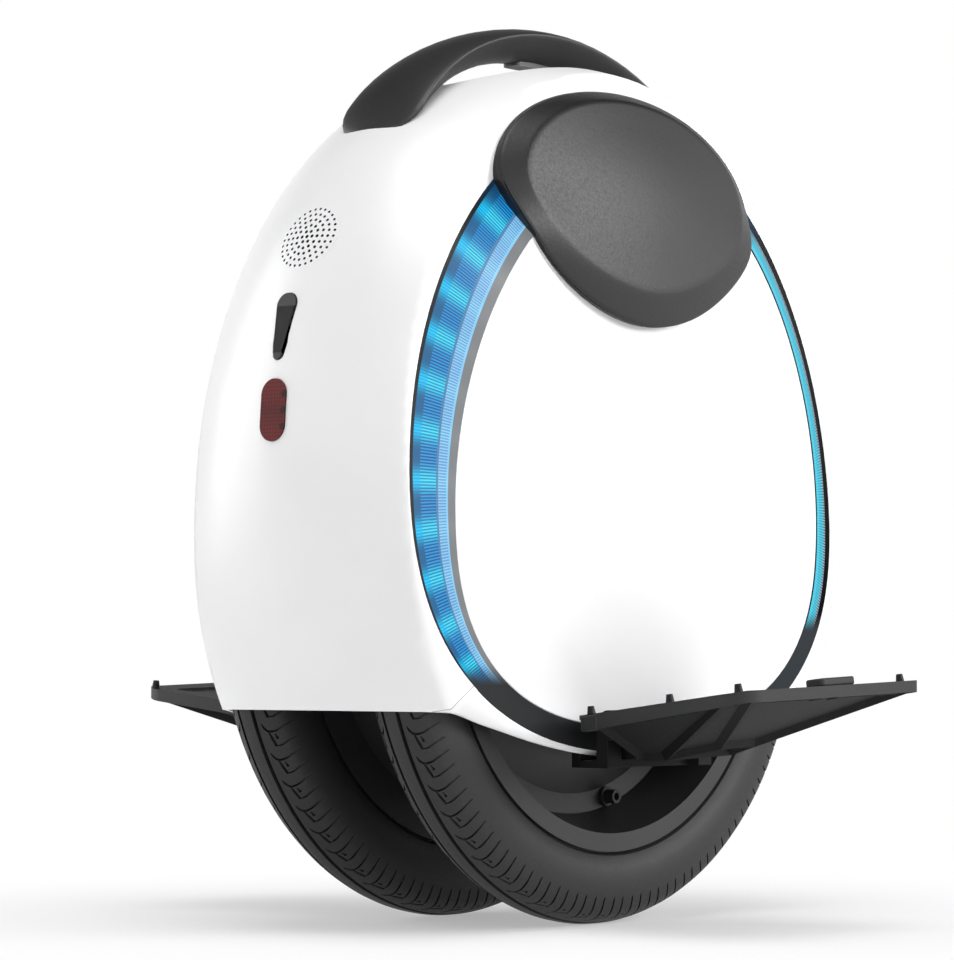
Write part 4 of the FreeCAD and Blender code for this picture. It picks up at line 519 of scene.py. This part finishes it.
def whiteShell():
    for node in ("main_shell", "lower_skirt_left", "lower_skirt_right"):
        bm = mergedCopy(node)
        if node == "main_shell":
            dropPinHoles(bm)
        tuckCorners(bm)
        bm.normal_update()
        dress(node, bm, soft=onShoulder)
    bm = mergedCopy("wheel_liner")
    tuckCorners(bm)
    dress("wheel_liner", bm)


# Speaker grille: a white field of holes; the walls inside each hole take the moulded black as painted shade.
speakerShape = {
    "grow": 1.006, "faceLean": 0.5,  # share that closes its seam; faces that lean out less line a hole
    "shellHalf": 207.0, "shellMiddle": 249.0, "shellRise": 225.0,  # mm, the shell's own slope there
}


def speakerField():
    bm = mergedCopy("speaker_grille")
    low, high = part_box("speaker_grille")
    middle = (Vector(low) + Vector(high)) / 2
    half, rise = speakerShape["shellHalf"] * mm, speakerShape["shellRise"] * mm
    above = middle.z - speakerShape["shellMiddle"] * mm
    out = Vector((middle.x / half ** 2, 0, above / rise ** 2)).normalized()
    bmesh.ops.scale(bm, vec=Vector((1, 1, 1)) * speakerShape["grow"], space=Matrix.Translation(-middle),
                    verts=bm.verts)
    piece = dress("speaker_grille", bm)
    piece.data.materials.append(softBlack)
    # faces lining the holes take the black: painted shade, the grille itself being white throughout
    for face in piece.data.polygons:
        if face.normal.dot(out) < speakerShape["faceLean"]:
            face.material_index = 1


whiteShell()
speakerField()


# Charge flap: its hinge pin stays inside the shell, so only the moulded cap is shown.
def flapCap():
    bm = mergedCopy("charge_flap")
    dropPinHoles(bm)
    bmesh.ops.recalc_face_normals(bm, faces=bm.faces)
    bm.normal_update()
    for vert in bm.verts:  # the leaf lies a little deeper and narrower than the rim it swings past
        if vert.co.z / mm < flapHinge["z"] + flapHinge["heel"]:
            vert.co.y *= flapHinge["heelShare"]
        if vert.normal.x < flapHinge["outerLean"] and abs(vert.co.y / mm) < flapHinge["leafY"]:
            vert.co.x += flapHinge["sink"] * mm
    dress("charge_flap", bm, smooth=40)


flapCap()
print("shell, speaker and flap")


# Pedals: cast plates with broken edges and one broad corner; a faceted belly closes the pockets under them.
# Their undersides and the belly take a darker black, as painted shade.
pedalShape = {
    "middleX": -11.5, "axleX": -6.5, "pitch": 0.0307, "pinY": 100.0, "topZ": 117.6, "rise": 14.2 / 119,
    "rootY": 92.5, "rootHalf": 64.0, "flare": 16.0 / 126.5, "endY": 219.0, "splitY": 111.0,
    "rimRoot": 8.7, "rimTaper": 2.5 / 122,  # mm below the top at the pin, and less of it further out
    "broadCorner": 16.0, "corner": 5.0, "cornerSteps": 8,  # mm, at the rear and the front of the outer edge
    "hingeEdge": 9.0, "shade": 1.0,  # mm from the ends and below the rim, where the painted shade starts
    "heelY": (100.0, 113.0), "heelDeep": 9.0, "heelInset": 0.05, "heelSink": 0.2,
    "bellyInset": 0.8, "bellyTuck": 0.8, "bellyStart": 0.5, "bellySteps": 6,
    "keel": ((110.5, 30.5, 91.6), (126.0, 29.0, 92.0), (152.0, 15.0, 97.8)),  # mm out, half width, height
    "facetArea": 500.0, "facetRim": 4.5, "facetDepth": 3.2, "facetLean": -0.2,
    "round": 1.4, "bellyRound": 1.0, "hangerRound": 0.8, "roundSteps": 3, "roundAngle": 35.0,
    "blockShare": 0.8, "blockAhead": 3.0, "cutSlack": 0.001,
}


def roundOff(piece, radius):
    edge = piece.modifiers.new("round", "BEVEL")
    edge.width, edge.segments = radius * mm, pedalShape["roundSteps"]
    edge.limit_method, edge.angle_limit = "ANGLE", math.radians(pedalShape["roundAngle"])
    edge.harden_normals = True


def pedalHalf(out):
    return pedalShape["rootHalf"] + pedalShape["flare"] * (out - pedalShape["rootY"])


def pedalLow(x, out):
    # height of the rim's lower edge
    beyond = out - pedalShape["pinY"]
    below = pedalShape["rimRoot"] - pedalShape["rimTaper"] * beyond
    pitched = pedalShape["pitch"] * (x - pedalShape["axleX"])
    return pedalShape["topZ"] + pedalShape["rise"] * beyond - below + pitched


def pedalCorner(x, out, radius):
    # a place outside the arc of the rear outer corner is drawn back onto it
    middle = pedalShape["middleX"] - pedalHalf(pedalShape["endY"] - radius) + radius
    inX, inY = middle - x, out - pedalShape["endY"] + radius
    away = math.hypot(inX, inY)
    if inX <= 0 or inY <= 0 or away <= radius:
        return x, out
    return middle - inX * radius / away, pedalShape["endY"] - radius + inY * radius / away


def pedalPlate(side, way):
    node = "pedal_" + side
    bm = mergedCopy(node)
    mirrorTo(bm, way)
    bmesh.ops.dissolve_limit(bm, angle_limit=math.radians(1), verts=bm.verts, edges=bm.edges)

    def cut(faces, place, normal, **clear):
        edges = dict.fromkeys(edge for face in faces for edge in face.edges)  # each once, in a fixed order
        verts = dict.fromkeys(vert for face in faces for vert in face.verts)
        bmesh.ops.bisect_plane(bm, geom=faces + list(edges) + list(verts), dist=pedalShape["cutSlack"] * mm,
                               plane_co=Vector(place) * mm, plane_no=normal, **clear)

    def outerFaces():
        return [face for face in bm.faces if (face.calc_center_median() / mm).y > pedalShape["splitY"]]

    slope = pedalShape["rise"] + pedalShape["rimTaper"]
    low = (pedalShape["axleX"], pedalShape["pinY"], pedalLow(pedalShape["axleX"], pedalShape["pinY"]))
    cut(bm.faces[:], (0, pedalShape["splitY"], 0), (0, 1, 0))
    cut(outerFaces(), low, (-pedalShape["pitch"], -slope, 1), clear_inner=True)
    for step in range(pedalShape["cornerSteps"] + 1):  # cuts that give the broad corner its points
        turn = math.radians(90 * step / pedalShape["cornerSteps"])
        inX = pedalShape["broadCorner"] * (1 - math.sin(turn))
        inY = pedalShape["broadCorner"] * (1 - math.cos(turn))
        nearEdge = pedalShape["middleX"] - pedalHalf(pedalShape["endY"]) + inX
        cut(outerFaces(), (0, pedalShape["endY"] - inY, 0), (0, 1, 0))
        cut(outerFaces(), (nearEdge, pedalShape["endY"], 0), (1, pedalShape["flare"], 0))
    for vert in bm.verts:
        x, out = pedalCorner(vert.co.x / mm, vert.co.y / mm, pedalShape["broadCorner"])
        vert.co.x, vert.co.y = x * mm, out * mm
    # faces under the rim, between the hinge edges, take the darker black: painted shade
    for face in bm.faces:
        place = face.calc_center_median() / mm
        inside = abs(place.x - pedalShape["middleX"]) < pedalShape["rootHalf"] - pedalShape["hingeEdge"]
        under = place.z < pedalLow(place.x, place.y) - pedalShape["shade"]
        face.material_index = 1 if inside and under else 0
    mirrorTo(bm, way)
    piece = dress(node, bm, smooth=40)
    piece.data.materials.append(shadedCastBlack)
    roundOff(piece, pedalShape["round"])


def pedalBelly(side, way):
    bm = bmesh.new()
    inset, endY = pedalShape["bellyInset"], pedalShape["endY"]
    outline = []
    for radius, end in ((pedalShape["broadCorner"], -1), (pedalShape["corner"], 1)):
        edge = pedalShape["middleX"] + end * pedalHalf(endY - radius)
        reach = radius - inset
        for step in range(pedalShape["bellySteps"] + 1):
            turn = math.radians(90 * step / pedalShape["bellySteps"])
            x = edge - end * (radius - reach * math.cos(turn))
            outline.append((x, endY - radius + reach * math.sin(turn)))
        outline.append((pedalShape["middleX"] + end * (pedalHalf(pedalShape["splitY"]) - inset),
                        pedalShape["splitY"] + pedalShape["bellyStart"]))
    for x, out in outline:
        bm.verts.new(Vector((x, out, pedalLow(x, out) + pedalShape["bellyTuck"])) * mm)
    for out, half, z in pedalShape["keel"]:
        for x in (pedalShape["axleX"] - half, pedalShape["axleX"] + half):
            bm.verts.new(Vector((x, out, z + pedalShape["pitch"] * (x - pedalShape["axleX"]))) * mm)
    bmesh.ops.convex_hull(bm, input=bm.verts)
    bmesh.ops.dissolve_limit(bm, angle_limit=math.radians(3), verts=bm.verts, edges=bm.edges)
    bmesh.ops.recalc_face_normals(bm, faces=bm.faces)
    least = pedalShape["facetArea"] * mm * mm
    facets = [face for face in bm.faces
              if face.normal.z < pedalShape["facetLean"] and face.calc_area() > least]
    bmesh.ops.inset_individual(bm, faces=facets, thickness=pedalShape["facetRim"] * mm,
                               depth=-pedalShape["facetDepth"] * mm)
    mirrorTo(bm, way)
    # the belly is in the darker black: painted shade
    piece = addPiece("pedal_%s_belly" % side, bm, "pedal_" + side, shadedCastBlack, smooth=24)
    roundOff(piece, pedalShape["bellyRound"])


# The rim goes on past the hinge at both ends of the plate.
def pedalHeel(side, way):
    bm = bmesh.new()
    for end in (-1, 1):
        corners = []
        for out in pedalShape["heelY"]:
            edge = pedalShape["middleX"] + end * (pedalHalf(out) - pedalShape["heelInset"])
            for x in (edge, edge - end * pedalShape["heelDeep"]):
                low = pedalLow(x, out)
                rim = pedalShape["rimRoot"] - pedalShape["rimTaper"] * (out - pedalShape["pinY"])
                top = low + rim - pedalShape["heelSink"]
                corners += [bm.verts.new(Vector((x, out, z)) * mm) for z in (low, top)]
        bmesh.ops.convex_hull(bm, input=corners)
    mirrorTo(bm, way)
    piece = addPiece("pedal_%s_heels" % side, bm, "pedal_" + side, pedalCoat, smooth=40)
    roundOff(piece, pedalShape["round"])


def brokenEdges(node, radius, share=1.0, ahead=0.0):
    bm = mergedCopy(node)
    bmesh.ops.dissolve_limit(bm, angle_limit=math.radians(1), verts=bm.verts, edges=bm.edges)
    front = max(vert.co.x for vert in bm.verts)
    for vert in bm.verts:
        vert.co.x = front - (front - vert.co.x) * share + ahead * mm
    roundOff(dress(node, bm, smooth=40), radius)


for side, way in sides:
    pedalPlate(side, way)
    pedalBelly(side, way)
    pedalHeel(side, way)
    brokenEdges("pedal_block_" + side, pedalShape["round"], pedalShape["blockShare"],
                pedalShape["blockAhead"])
    brokenEdges("hanger_" + side, pedalShape["hangerRound"])
print("pedals and hangers")


# Ring lens: a strip from the shell's edge up to the panel's edge, with a wall behind it.
def ringLens(side, way):
    bm = bmesh.new()
    rows = (
        (ringShape["outer"], lambda z: shellSide(z) - ringShape["behind"], 0.0),
        (ringShape["outer"], shellSide, 0.0),
        (ringShape["inner"], lambda z: ringShape["faceY"], 1.0),
        (ringShape["inner"], lambda z: ringShape["faceY"] - ringShape["lip"], 1.0),
    )  # outline, its surface, share of the way inward
    loops, across = [], {}
    for egg, sideAt, share in rows:
        edges, verts = eggLoop(bm, egg, ringShape["steps"], sideAt)
        loops.append(edges)
        across.update({vert: share for vert in verts})
    for first, second in zip(loops, loops[1:]):
        bmesh.ops.bridge_loops(bm, edges=first + second)
    layer = bm.loops.layers.uv.new("ring")
    middle = ringShape["outer"]["middle"] * mm
    for face in bm.faces:
        turns = [math.atan2(loop.vert.co.x, middle - loop.vert.co.z) for loop in face.loops]
        for loop, turn in zip(face.loops, turns):
            if max(turns) - min(turns) > math.pi and turn < 0:
                turn += math.tau
            loop[layer].uv = (turn * ringShape["meanRadius"], across[loop.vert])  # mm along the ring
    mirrorTo(bm, way)
    piece = addPiece("ring_lens_%s_lit" % side, bm, "ring_lens_" + side, litLens, smooth=30)
    wall = piece.modifiers.new("wall", "SOLIDIFY")
    wall.thickness, wall.offset = ringShape["wall"] * mm, -1.0
    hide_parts("ring_lens_" + side)


for side, way in sides:
    ringLens(side, way)
print("ring lenses")


# Leg pad: a pebbled face on a smooth sloping border, with a thin rolled edge over a base plate.
padShape = {
    "egg": {"half": 108.5, "middle": 402.0, "rise": 56.0, "drop": 75.0, "upper": 2.0, "lower": 1.78,
            "shift": -2.0, "lean": 0.0},
    "edgeY": 78.0, "lean": 0.1763, "bend": 3.2,
    "bevel": {"half": 15.0, "rise": 6.0, "drop": 20.0, "shift": 2.0},
    "liftAt": 374.0, "lift": 3.8, "liftSpread": 22.0,  # mm, the rim bows out over the panel's edge
    "bendFrom": 370.0, "bendTo": 406.0,  # mm, above the panel
    "profile": ((0.05, -14.0), (0.02, -3.4), (0.0, -2.8), (0.0, -1.9), (0.025, -1.6), (0.025, -1.1),
                (0.005, -0.7), (0.0, -0.2), (0.03, 0.3), (0.12, 1.1), (0.5, 4.3), (0.76, 6.5), (0.88, 7.5),
                (0.96, 8.05), (1.04, 8.5), (1.15, 9.2), (1.35, 10.7), (1.6, 12.3), (1.8, 13.1),
                (1.97, 13.4)),  # share of the way in over the bevel, mm out
    "steps": 160,
}


def padLoop(bm, share, out):
    # share 0 is the rim and 1 the edge of the face; past 1 the face closes towards its middle
    egg = dict(padShape["egg"])
    for key, inset in padShape["bevel"].items():
        egg[key] = (egg[key] - inset * min(share, 1.0)) * (2.0 - max(share, 1.0))

    def level(z):
        bow = padShape["lift"] * math.exp(-((z - padShape["liftAt"]) / padShape["liftSpread"]) ** 2)
        slope = padShape["lean"] * (z - padShape["egg"]["middle"])
        return padShape["edgeY"] - slope + out + bow * max(0, 1 - share)

    return eggLoop(bm, egg, padShape["steps"], level)[0]


def legPad(side, way):
    bm = bmesh.new()
    loops = [padLoop(bm, share, out) for share, out in padShape["profile"]]
    for first, second in zip(loops, loops[1:]):
        bmesh.ops.bridge_loops(bm, edges=first + second)
    for end in (loops[-1], loops[0]):
        bmesh.ops.contextual_create(bm, geom=end)
    for vert in bm.verts:  # above the panel both ends bend in with the shell's shoulders
        up = (vert.co.z / mm - padShape["bendFrom"]) / (padShape["bendTo"] - padShape["bendFrom"])
        up = min(1.0, max(0.0, up))
        bend = padShape["bend"] * up * up * (3 - 2 * up)
        vert.co.y -= bend * mm * (vert.co.x / (padShape["egg"]["half"] * mm)) ** 2
    mirrorTo(bm, way)
    piece = addPiece("leg_pad_%s_grained" % side, bm, "leg_pad_" + side, leather, smooth=50)
    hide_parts("leg_pad_" + side)


for side, way in sides:
    legPad(side, way)
print("leg pads")


# Handle: a lens-shaped strap arched over the recess, thin at its rolled edges.
handleShape = {
    "half": 144.0, "base": 380.0, "rise": 115.0, "crown": 3.9, "belly": 12.2, "edge": 1.3,
    "stations": ((0.0, 24.0, 1.0), (0.3, 24.2, 1.0), (0.55, 25.4, 0.95), (0.74, 27.4, 0.75),
                 (0.83, 28.0, 0.6), (0.858, 26.9, 0.52), (0.88, 24.6, 0.47), (0.898, 21.0, 0.43),
                 (0.91, 16.5, 0.4), (0.918, 11.0, 0.38)),  # place along the half, half width, thickness share
    "steps": 40, "between": 4,
    "fullness": 0.85, "bow": 2.2, "roll": 0.5,  # powers of the section's curve
}


def handleLoop(bm, share, halfWidth, thick):
    half, rise = handleShape["half"], handleShape["rise"]
    x = half * share
    z = handleShape["base"] + rise * math.sqrt(1 - share * share)
    out = Vector((x / half ** 2, 0, (z - handleShape["base"]) / rise ** 2)).normalized()
    verts = bmesh.ops.create_circle(bm, segments=handleShape["steps"], radius=1)["verts"]
    for vert in verts:
        turn = math.atan2(vert.co.y, vert.co.x)
        up = math.sin(turn)
        lift = handleShape["crown"] * thick if up >= 0 else handleShape["belly"]
        across = math.copysign(abs(math.cos(turn)) ** handleShape["fullness"], math.cos(turn))
        roll = handleShape["edge"] * abs(up) ** handleShape["roll"]
        bow = (1 - abs(across) ** handleShape["bow"]) * lift + roll
        vert.co = (Vector((x, across * halfWidth, z)) + out * math.copysign(bow, up)) * mm
    return list({edge for vert in verts for edge in vert.link_edges})


def strapHandle():
    bm = bmesh.new()
    half = handleShape["stations"]
    rows = [(-along, wide, thick) for along, wide, thick in reversed(half)] + list(half[1:])
    smoothRows = []
    for row, following in zip(rows, rows[1:]):
        for step in range(handleShape["between"]):
            smoothRows.append([a + (b - a) * step / handleShape["between"] for a, b in zip(row, following)])
    loops = [handleLoop(bm, *row) for row in smoothRows + rows[-1:]]
    for first, second in zip(loops, loops[1:]):
        bmesh.ops.bridge_loops(bm, edges=first + second)
    for end in (loops[0], loops[-1]):
        bmesh.ops.contextual_create(bm, geom=end)
    bmesh.ops.recalc_face_normals(bm, faces=bm.faces)
    piece = addPiece("handle_strap", bm, "handle", nylon, smooth=60)
    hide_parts("handle")


strapHandle()
print("handle")


# Tyres: a turned carcass with two grooves, then sipes cut across the tread.
tyreShape = {
    "radius": 178.0, "offset": 52.0, "axleX": -6.5, "steps": 224, "pitches": 64,
    "outline": ((0.0, 178.0), (4.1, 177.55), (4.1, 175.2), (6.3, 174.9), (6.3, 176.95), (10.0, 175.4),
                (13.6, 173.2), (16.6, 170.4), (17.6, 168.6), (18.6, 166.2), (20.0, 161.0), (20.8, 155.0),
                (20.8, 149.5), (19.6, 144.0), (17.2, 140.2), (14.3, 138.6), (14.3, 131.3), (10.0, 131.3),
                (10.0, 139.0), (14.0, 150.0), (10.5, 164.0), (0.0, 168.0)),  # from the middle, radius
    "sipes": (((0.0, 8.2), (2.6, 9.0), (4.6, 10.3), (5.4, 12.0), (5.2, 14.5), (4.0, 17.2), (3.2, 19.4)),
              ((14.2, 12.6), (14.3, 14.6), (13.2, 17.2), (12.5, 19.4)),
              ((6.9, 13.4), (10.4, 13.9))),
    "links": (((4.2, 10.6), (9.5, 11.5), (14.6, 12.4)),),  # mm along the tread, mm from the middle
    "width": 1.25, "depth": 2.2, "tipWidth": 0.35, "tipDepth": 0.5, "above": 1.5,
    "groove": (4.1, 6.3), "weld": 0.01,
    "treadPoints": 13,  # of the outline, down to the sidewall
}


def treadRadius(y):
    points = tyreShape["outline"][:tyreShape["treadPoints"]]
    outer = [point for point in points if point[0] not in tyreShape["groove"]]
    for (y0, r0), (y1, r1) in zip(outer, outer[1:]):
        if y0 <= y <= y1:
            return r0 + (r1 - r0) * (y - y0) / (y1 - y0)
    return outer[-1][1]


def carcass():
    bm = bmesh.new()
    half = tyreShape["outline"]
    ring = list(half) + [(-y, r) for y, r in reversed(half[1:-1])]
    verts = [bm.verts.new((0, y * mm, -r * mm)) for y, r in ring]
    edges = [bm.edges.new((a, b)) for a, b in zip(verts, verts[1:] + verts[:1])]
    bmesh.ops.spin(bm, geom=verts + edges, cent=(0, 0, 0), axis=(0, 1, 0), dvec=(0, 0, 0), angle=math.tau,
                   steps=tyreShape["steps"], use_merge=True, use_duplicate=False)
    bmesh.ops.remove_doubles(bm, verts=bm.verts, dist=tyreShape["weld"] * mm)
    bmesh.ops.recalc_face_normals(bm, faces=bm.faces)
    return bm


def sipeRibbon(bm, path, way):
    # a thin bar along the path, from above the tread to its depth below it
    radius = tyreShape["radius"]
    loops = []
    for i, (along, y) in enumerate(path):
        ahead, behind = path[min(i + 1, len(path) - 1)], path[max(i - 1, 0)]
        run = Vector((ahead[0] - behind[0], ahead[1] - behind[1])).normalized()
        narrow, shallow = (tyreShape["tipWidth"], tyreShape["tipDepth"]) if i == 0 else (1.0, 1.0)
        sideStep = Vector((-run.y, run.x)) * tyreShape["width"] / 2 * narrow
        top, low = treadRadius(y) + tyreShape["above"], treadRadius(y) - tyreShape["depth"] * shallow
        corners = []
        for place, height in ((sideStep, top), (sideStep, low), (-sideStep, low), (-sideStep, top)):
            turn = (along + place.x) / radius
            corner = Vector((math.sin(turn) * height, way * (y + place.y), -math.cos(turn) * height))
            corners.append(bm.verts.new(corner * mm))
        loops.append([bm.edges.new((a, b)) for a, b in zip(corners, corners[1:] + corners[:1])])
    for first, second in zip(loops, loops[1:]):
        bmesh.ops.bridge_loops(bm, edges=first + second)
    for end in (loops[0], loops[-1]):
        bmesh.ops.contextual_create(bm, geom=end)


def sipeCutter(name, paths):
    bm = bmesh.new()
    for path in paths:
        for way in (1, -1):
            sipeRibbon(bm, path, way)
    count = tyreShape["pitches"]
    bmesh.ops.spin(bm, geom=bm.verts[:] + bm.edges[:] + bm.faces[:], cent=(0, 0, 0), axis=(0, 1, 0),
                   dvec=(0, 0, 0), angle=math.tau * (count - 1) / count, steps=count - 1, use_duplicate=True)
    bmesh.ops.recalc_face_normals(bm, faces=bm.faces)
    mesh = bpy.data.meshes.new(name)
    bm.to_mesh(mesh)
    bm.free()
    cutter = bpy.data.objects.new(name, mesh)
    scene.collection.objects.link(cutter)
    return cutter


def treadedMesh():
    mesh = bpy.data.meshes.new("tread")
    bm = carcass()
    bm.to_mesh(mesh)
    bm.free()
    blank = bpy.data.objects.new("tread", mesh)
    scene.collection.objects.link(blank)
    cutters = [sipeCutter("sipes", tyreShape["sipes"]), sipeCutter("links", tyreShape["links"])]
    for cutter in cutters:
        cut = blank.modifiers.new(cutter.name, "BOOLEAN")
        cut.operation, cut.object, cut.solver = "DIFFERENCE", cutter, "MANIFOLD"
    done = bpy.data.meshes.new_from_object(blank.evaluated_get(bpy.context.evaluated_depsgraph_get()))
    for helper in [blank] + cutters:
        bpy.data.objects.remove(helper)
    return done


tread = treadedMesh()
print("tread:", len(tread.polygons), "faces")
for side, way in sides:
    bm = bmesh.new()
    bm.from_mesh(tread)
    mirrorTo(bm, way)
    shift = Vector((tyreShape["axleX"], way * tyreShape["offset"], tyreShape["radius"])) * mm
    bmesh.ops.translate(bm, vec=shift, verts=bm.verts)
    tyre = addPiece("tyre_%s_treaded" % side, bm, "tyre_" + side, rubber, smooth=28)
    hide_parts("tyre_" + side)
print("tyres")


# Stage, camera and light

stageLook = {
    "floor": "#fafafa", "floorSize": 12.0, "fadeNear": 0.06, "fadeFar": 0.5,  # m from the wheel
    "shadowLift": 0.38,  # share of white in the floor next to the wheel
    "light": 0.34,  # what the backdrop gives as light; seen, it is white
    "ceiling": "#232324", "wallTop": 0.22, "ceilingLow": 0.62,  # sine of the height in the sky
}


def seenStraight(tree):
    # 1 for what the camera, a reflection or a clear part sees, 0 for light falling on the object
    path = addNode(tree, "ShaderNodeLightPath").outputs
    direct = addNode(tree, "ShaderNodeMath", {0: path["Is Camera Ray"], 1: path["Is Glossy Ray"]},
                     operation="ADD")
    return addNode(tree, "ShaderNodeMath", {0: direct.outputs["Value"], 1: path["Is Transmission Ray"]},
                   operation="ADD", use_clamp=True).outputs["Value"]


def paleFloor():
    bm = bmesh.new()
    bmesh.ops.create_grid(bm, x_segments=1, y_segments=1, size=stageLook["floorSize"] / 2)
    mesh = bpy.data.meshes.new("floor")
    bm.to_mesh(mesh)
    bm.free()
    material, tree, shader = newMaterial("matte_pale_floor", stageLook["floor"], 0.7)
    place = addNode(tree, "ShaderNodeTexCoord").outputs["Object"]
    away = addNode(tree, "ShaderNodeVectorMath", {0: place}, operation="LENGTH").outputs["Value"]
    fade = addNode(tree, "ShaderNodeMapRange", interpolation_type="SMOOTHSTEP", inputs={
        "Value": away, "From Min": stageLook["fadeNear"], "From Max": stageLook["fadeFar"],
        "To Min": stageLook["shadowLift"]})
    share = addNode(tree, "ShaderNodeMath", {0: fade.outputs["Result"], 1: seenStraight(tree)},
                    operation="MULTIPLY")
    backdrop = addNode(tree, "ShaderNodeEmission", {"Color": (1, 1, 1, 1), "Strength": 1.0})
    mixed = addNode(tree, "ShaderNodeMixShader", {0: share.outputs["Value"], 1: shader.outputs["BSDF"],
                                                  2: backdrop.outputs["Emission"]})
    tree.links.new(mixed.outputs["Shader"], tree.nodes["Material Output"].inputs["Surface"])
    mesh.materials.append(material)
    floor = bpy.data.objects.new("floor", mesh)
    scene.collection.objects.link(floor)


paleFloor()

cameraPlace = {
    "at": (-1566.7, -1304.1, 145.5),  # mm
    "back": (-0.7589, -0.6493, -0.0493),
    "focal": 3617.8, "long": 960,  # px
    "offset": (0.54, 0.03),  # px, middle of the picture from the lens's axis
    "sensor": 36.0,  # mm
    "reach": 100.0,  # m
}


def photoCamera():
    data = bpy.data.cameras.new("photo_camera")
    camera = bpy.data.objects.new("photo_camera", data)
    scene.collection.objects.link(camera)
    back = Vector(cameraPlace["back"]).normalized()
    camera.location = Vector(cameraPlace["at"]) * mm
    camera.rotation_mode = "QUATERNION"
    camera.rotation_quaternion = (-back).to_track_quat("-Z", "Y")
    data.sensor_width = cameraPlace["sensor"]
    data.lens = cameraPlace["focal"] * data.sensor_width / cameraPlace["long"]
    data.shift_x = -cameraPlace["offset"][0] / cameraPlace["long"]
    data.shift_y = cameraPlace["offset"][1] / cameraPlace["long"]
    data.clip_end = cameraPlace["reach"]
    scene.camera = camera


photoCamera()

studioLights = (
    # name, place in m, aimed at, size in m, watts
    ("side", (1.3, -2.25, 1.2), (0.0, 0.0, 0.25), 1.4, 54.0),
    ("shoulder", (-1.1, -2.5, 0.9), (0.0, 0.0, 0.25), 1.6, 11.0),
    ("rear", (-2.6, 0.4, 1.4), (0.0, 0.0, 0.25), 1.8, 7.0),
    ("far", (-1.2, 2.4, 1.0), (0.0, 0.0, 0.25), 1.8, 30.0),
    ("top", (-0.6, -0.5, 2.5), (0.0, 0.0, 0.3), 1.6, 36.0),
)


def softLights():
    for name, place, aim, size, watts in studioLights:
        data = bpy.data.lights.new(name, "AREA")
        data.size, data.energy = size, watts
        lamp = bpy.data.objects.new(name, data)
        lamp.location = place
        lamp.rotation_mode = "QUATERNION"
        lamp.rotation_quaternion = (Vector(aim) - Vector(place)).to_track_quat("-Z", "Y")
        scene.collection.objects.link(lamp)


def whiteWorld():
    world = bpy.data.worlds.new("white_studio")
    scene.world = world
    world.use_nodes = True
    tree = world.node_tree
    sky = addNode(tree, "ShaderNodeSeparateXYZ",
                  {"Vector": addNode(tree, "ShaderNodeTexCoord").outputs["Generated"]}).outputs["Z"]
    ceiling = addNode(tree, "ShaderNodeMapRange", {"Value": sky, "From Min": stageLook["wallTop"],
                                                   "From Max": stageLook["ceilingLow"]},
                      interpolation_type="SMOOTHSTEP")
    colour = addNode(tree, "ShaderNodeMix", {"Factor": ceiling.outputs["Result"], 6: (1, 1, 1, 1),
                                             7: linearColour(stageLook["ceiling"])}, data_type="RGBA")
    strength = addNode(tree, "ShaderNodeMapRange", {"Value": seenStraight(tree), "To Min": stageLook["light"],
                                                    "To Max": 1.0})
    background = tree.nodes["Background"].inputs
    tree.links.new(colour.outputs[2], background["Color"])
    tree.links.new(strength.outputs["Result"], background["Strength"])


softLights()
whiteWorld()
scene.view_settings.view_transform = "Standard"
print("stage, camera and light")
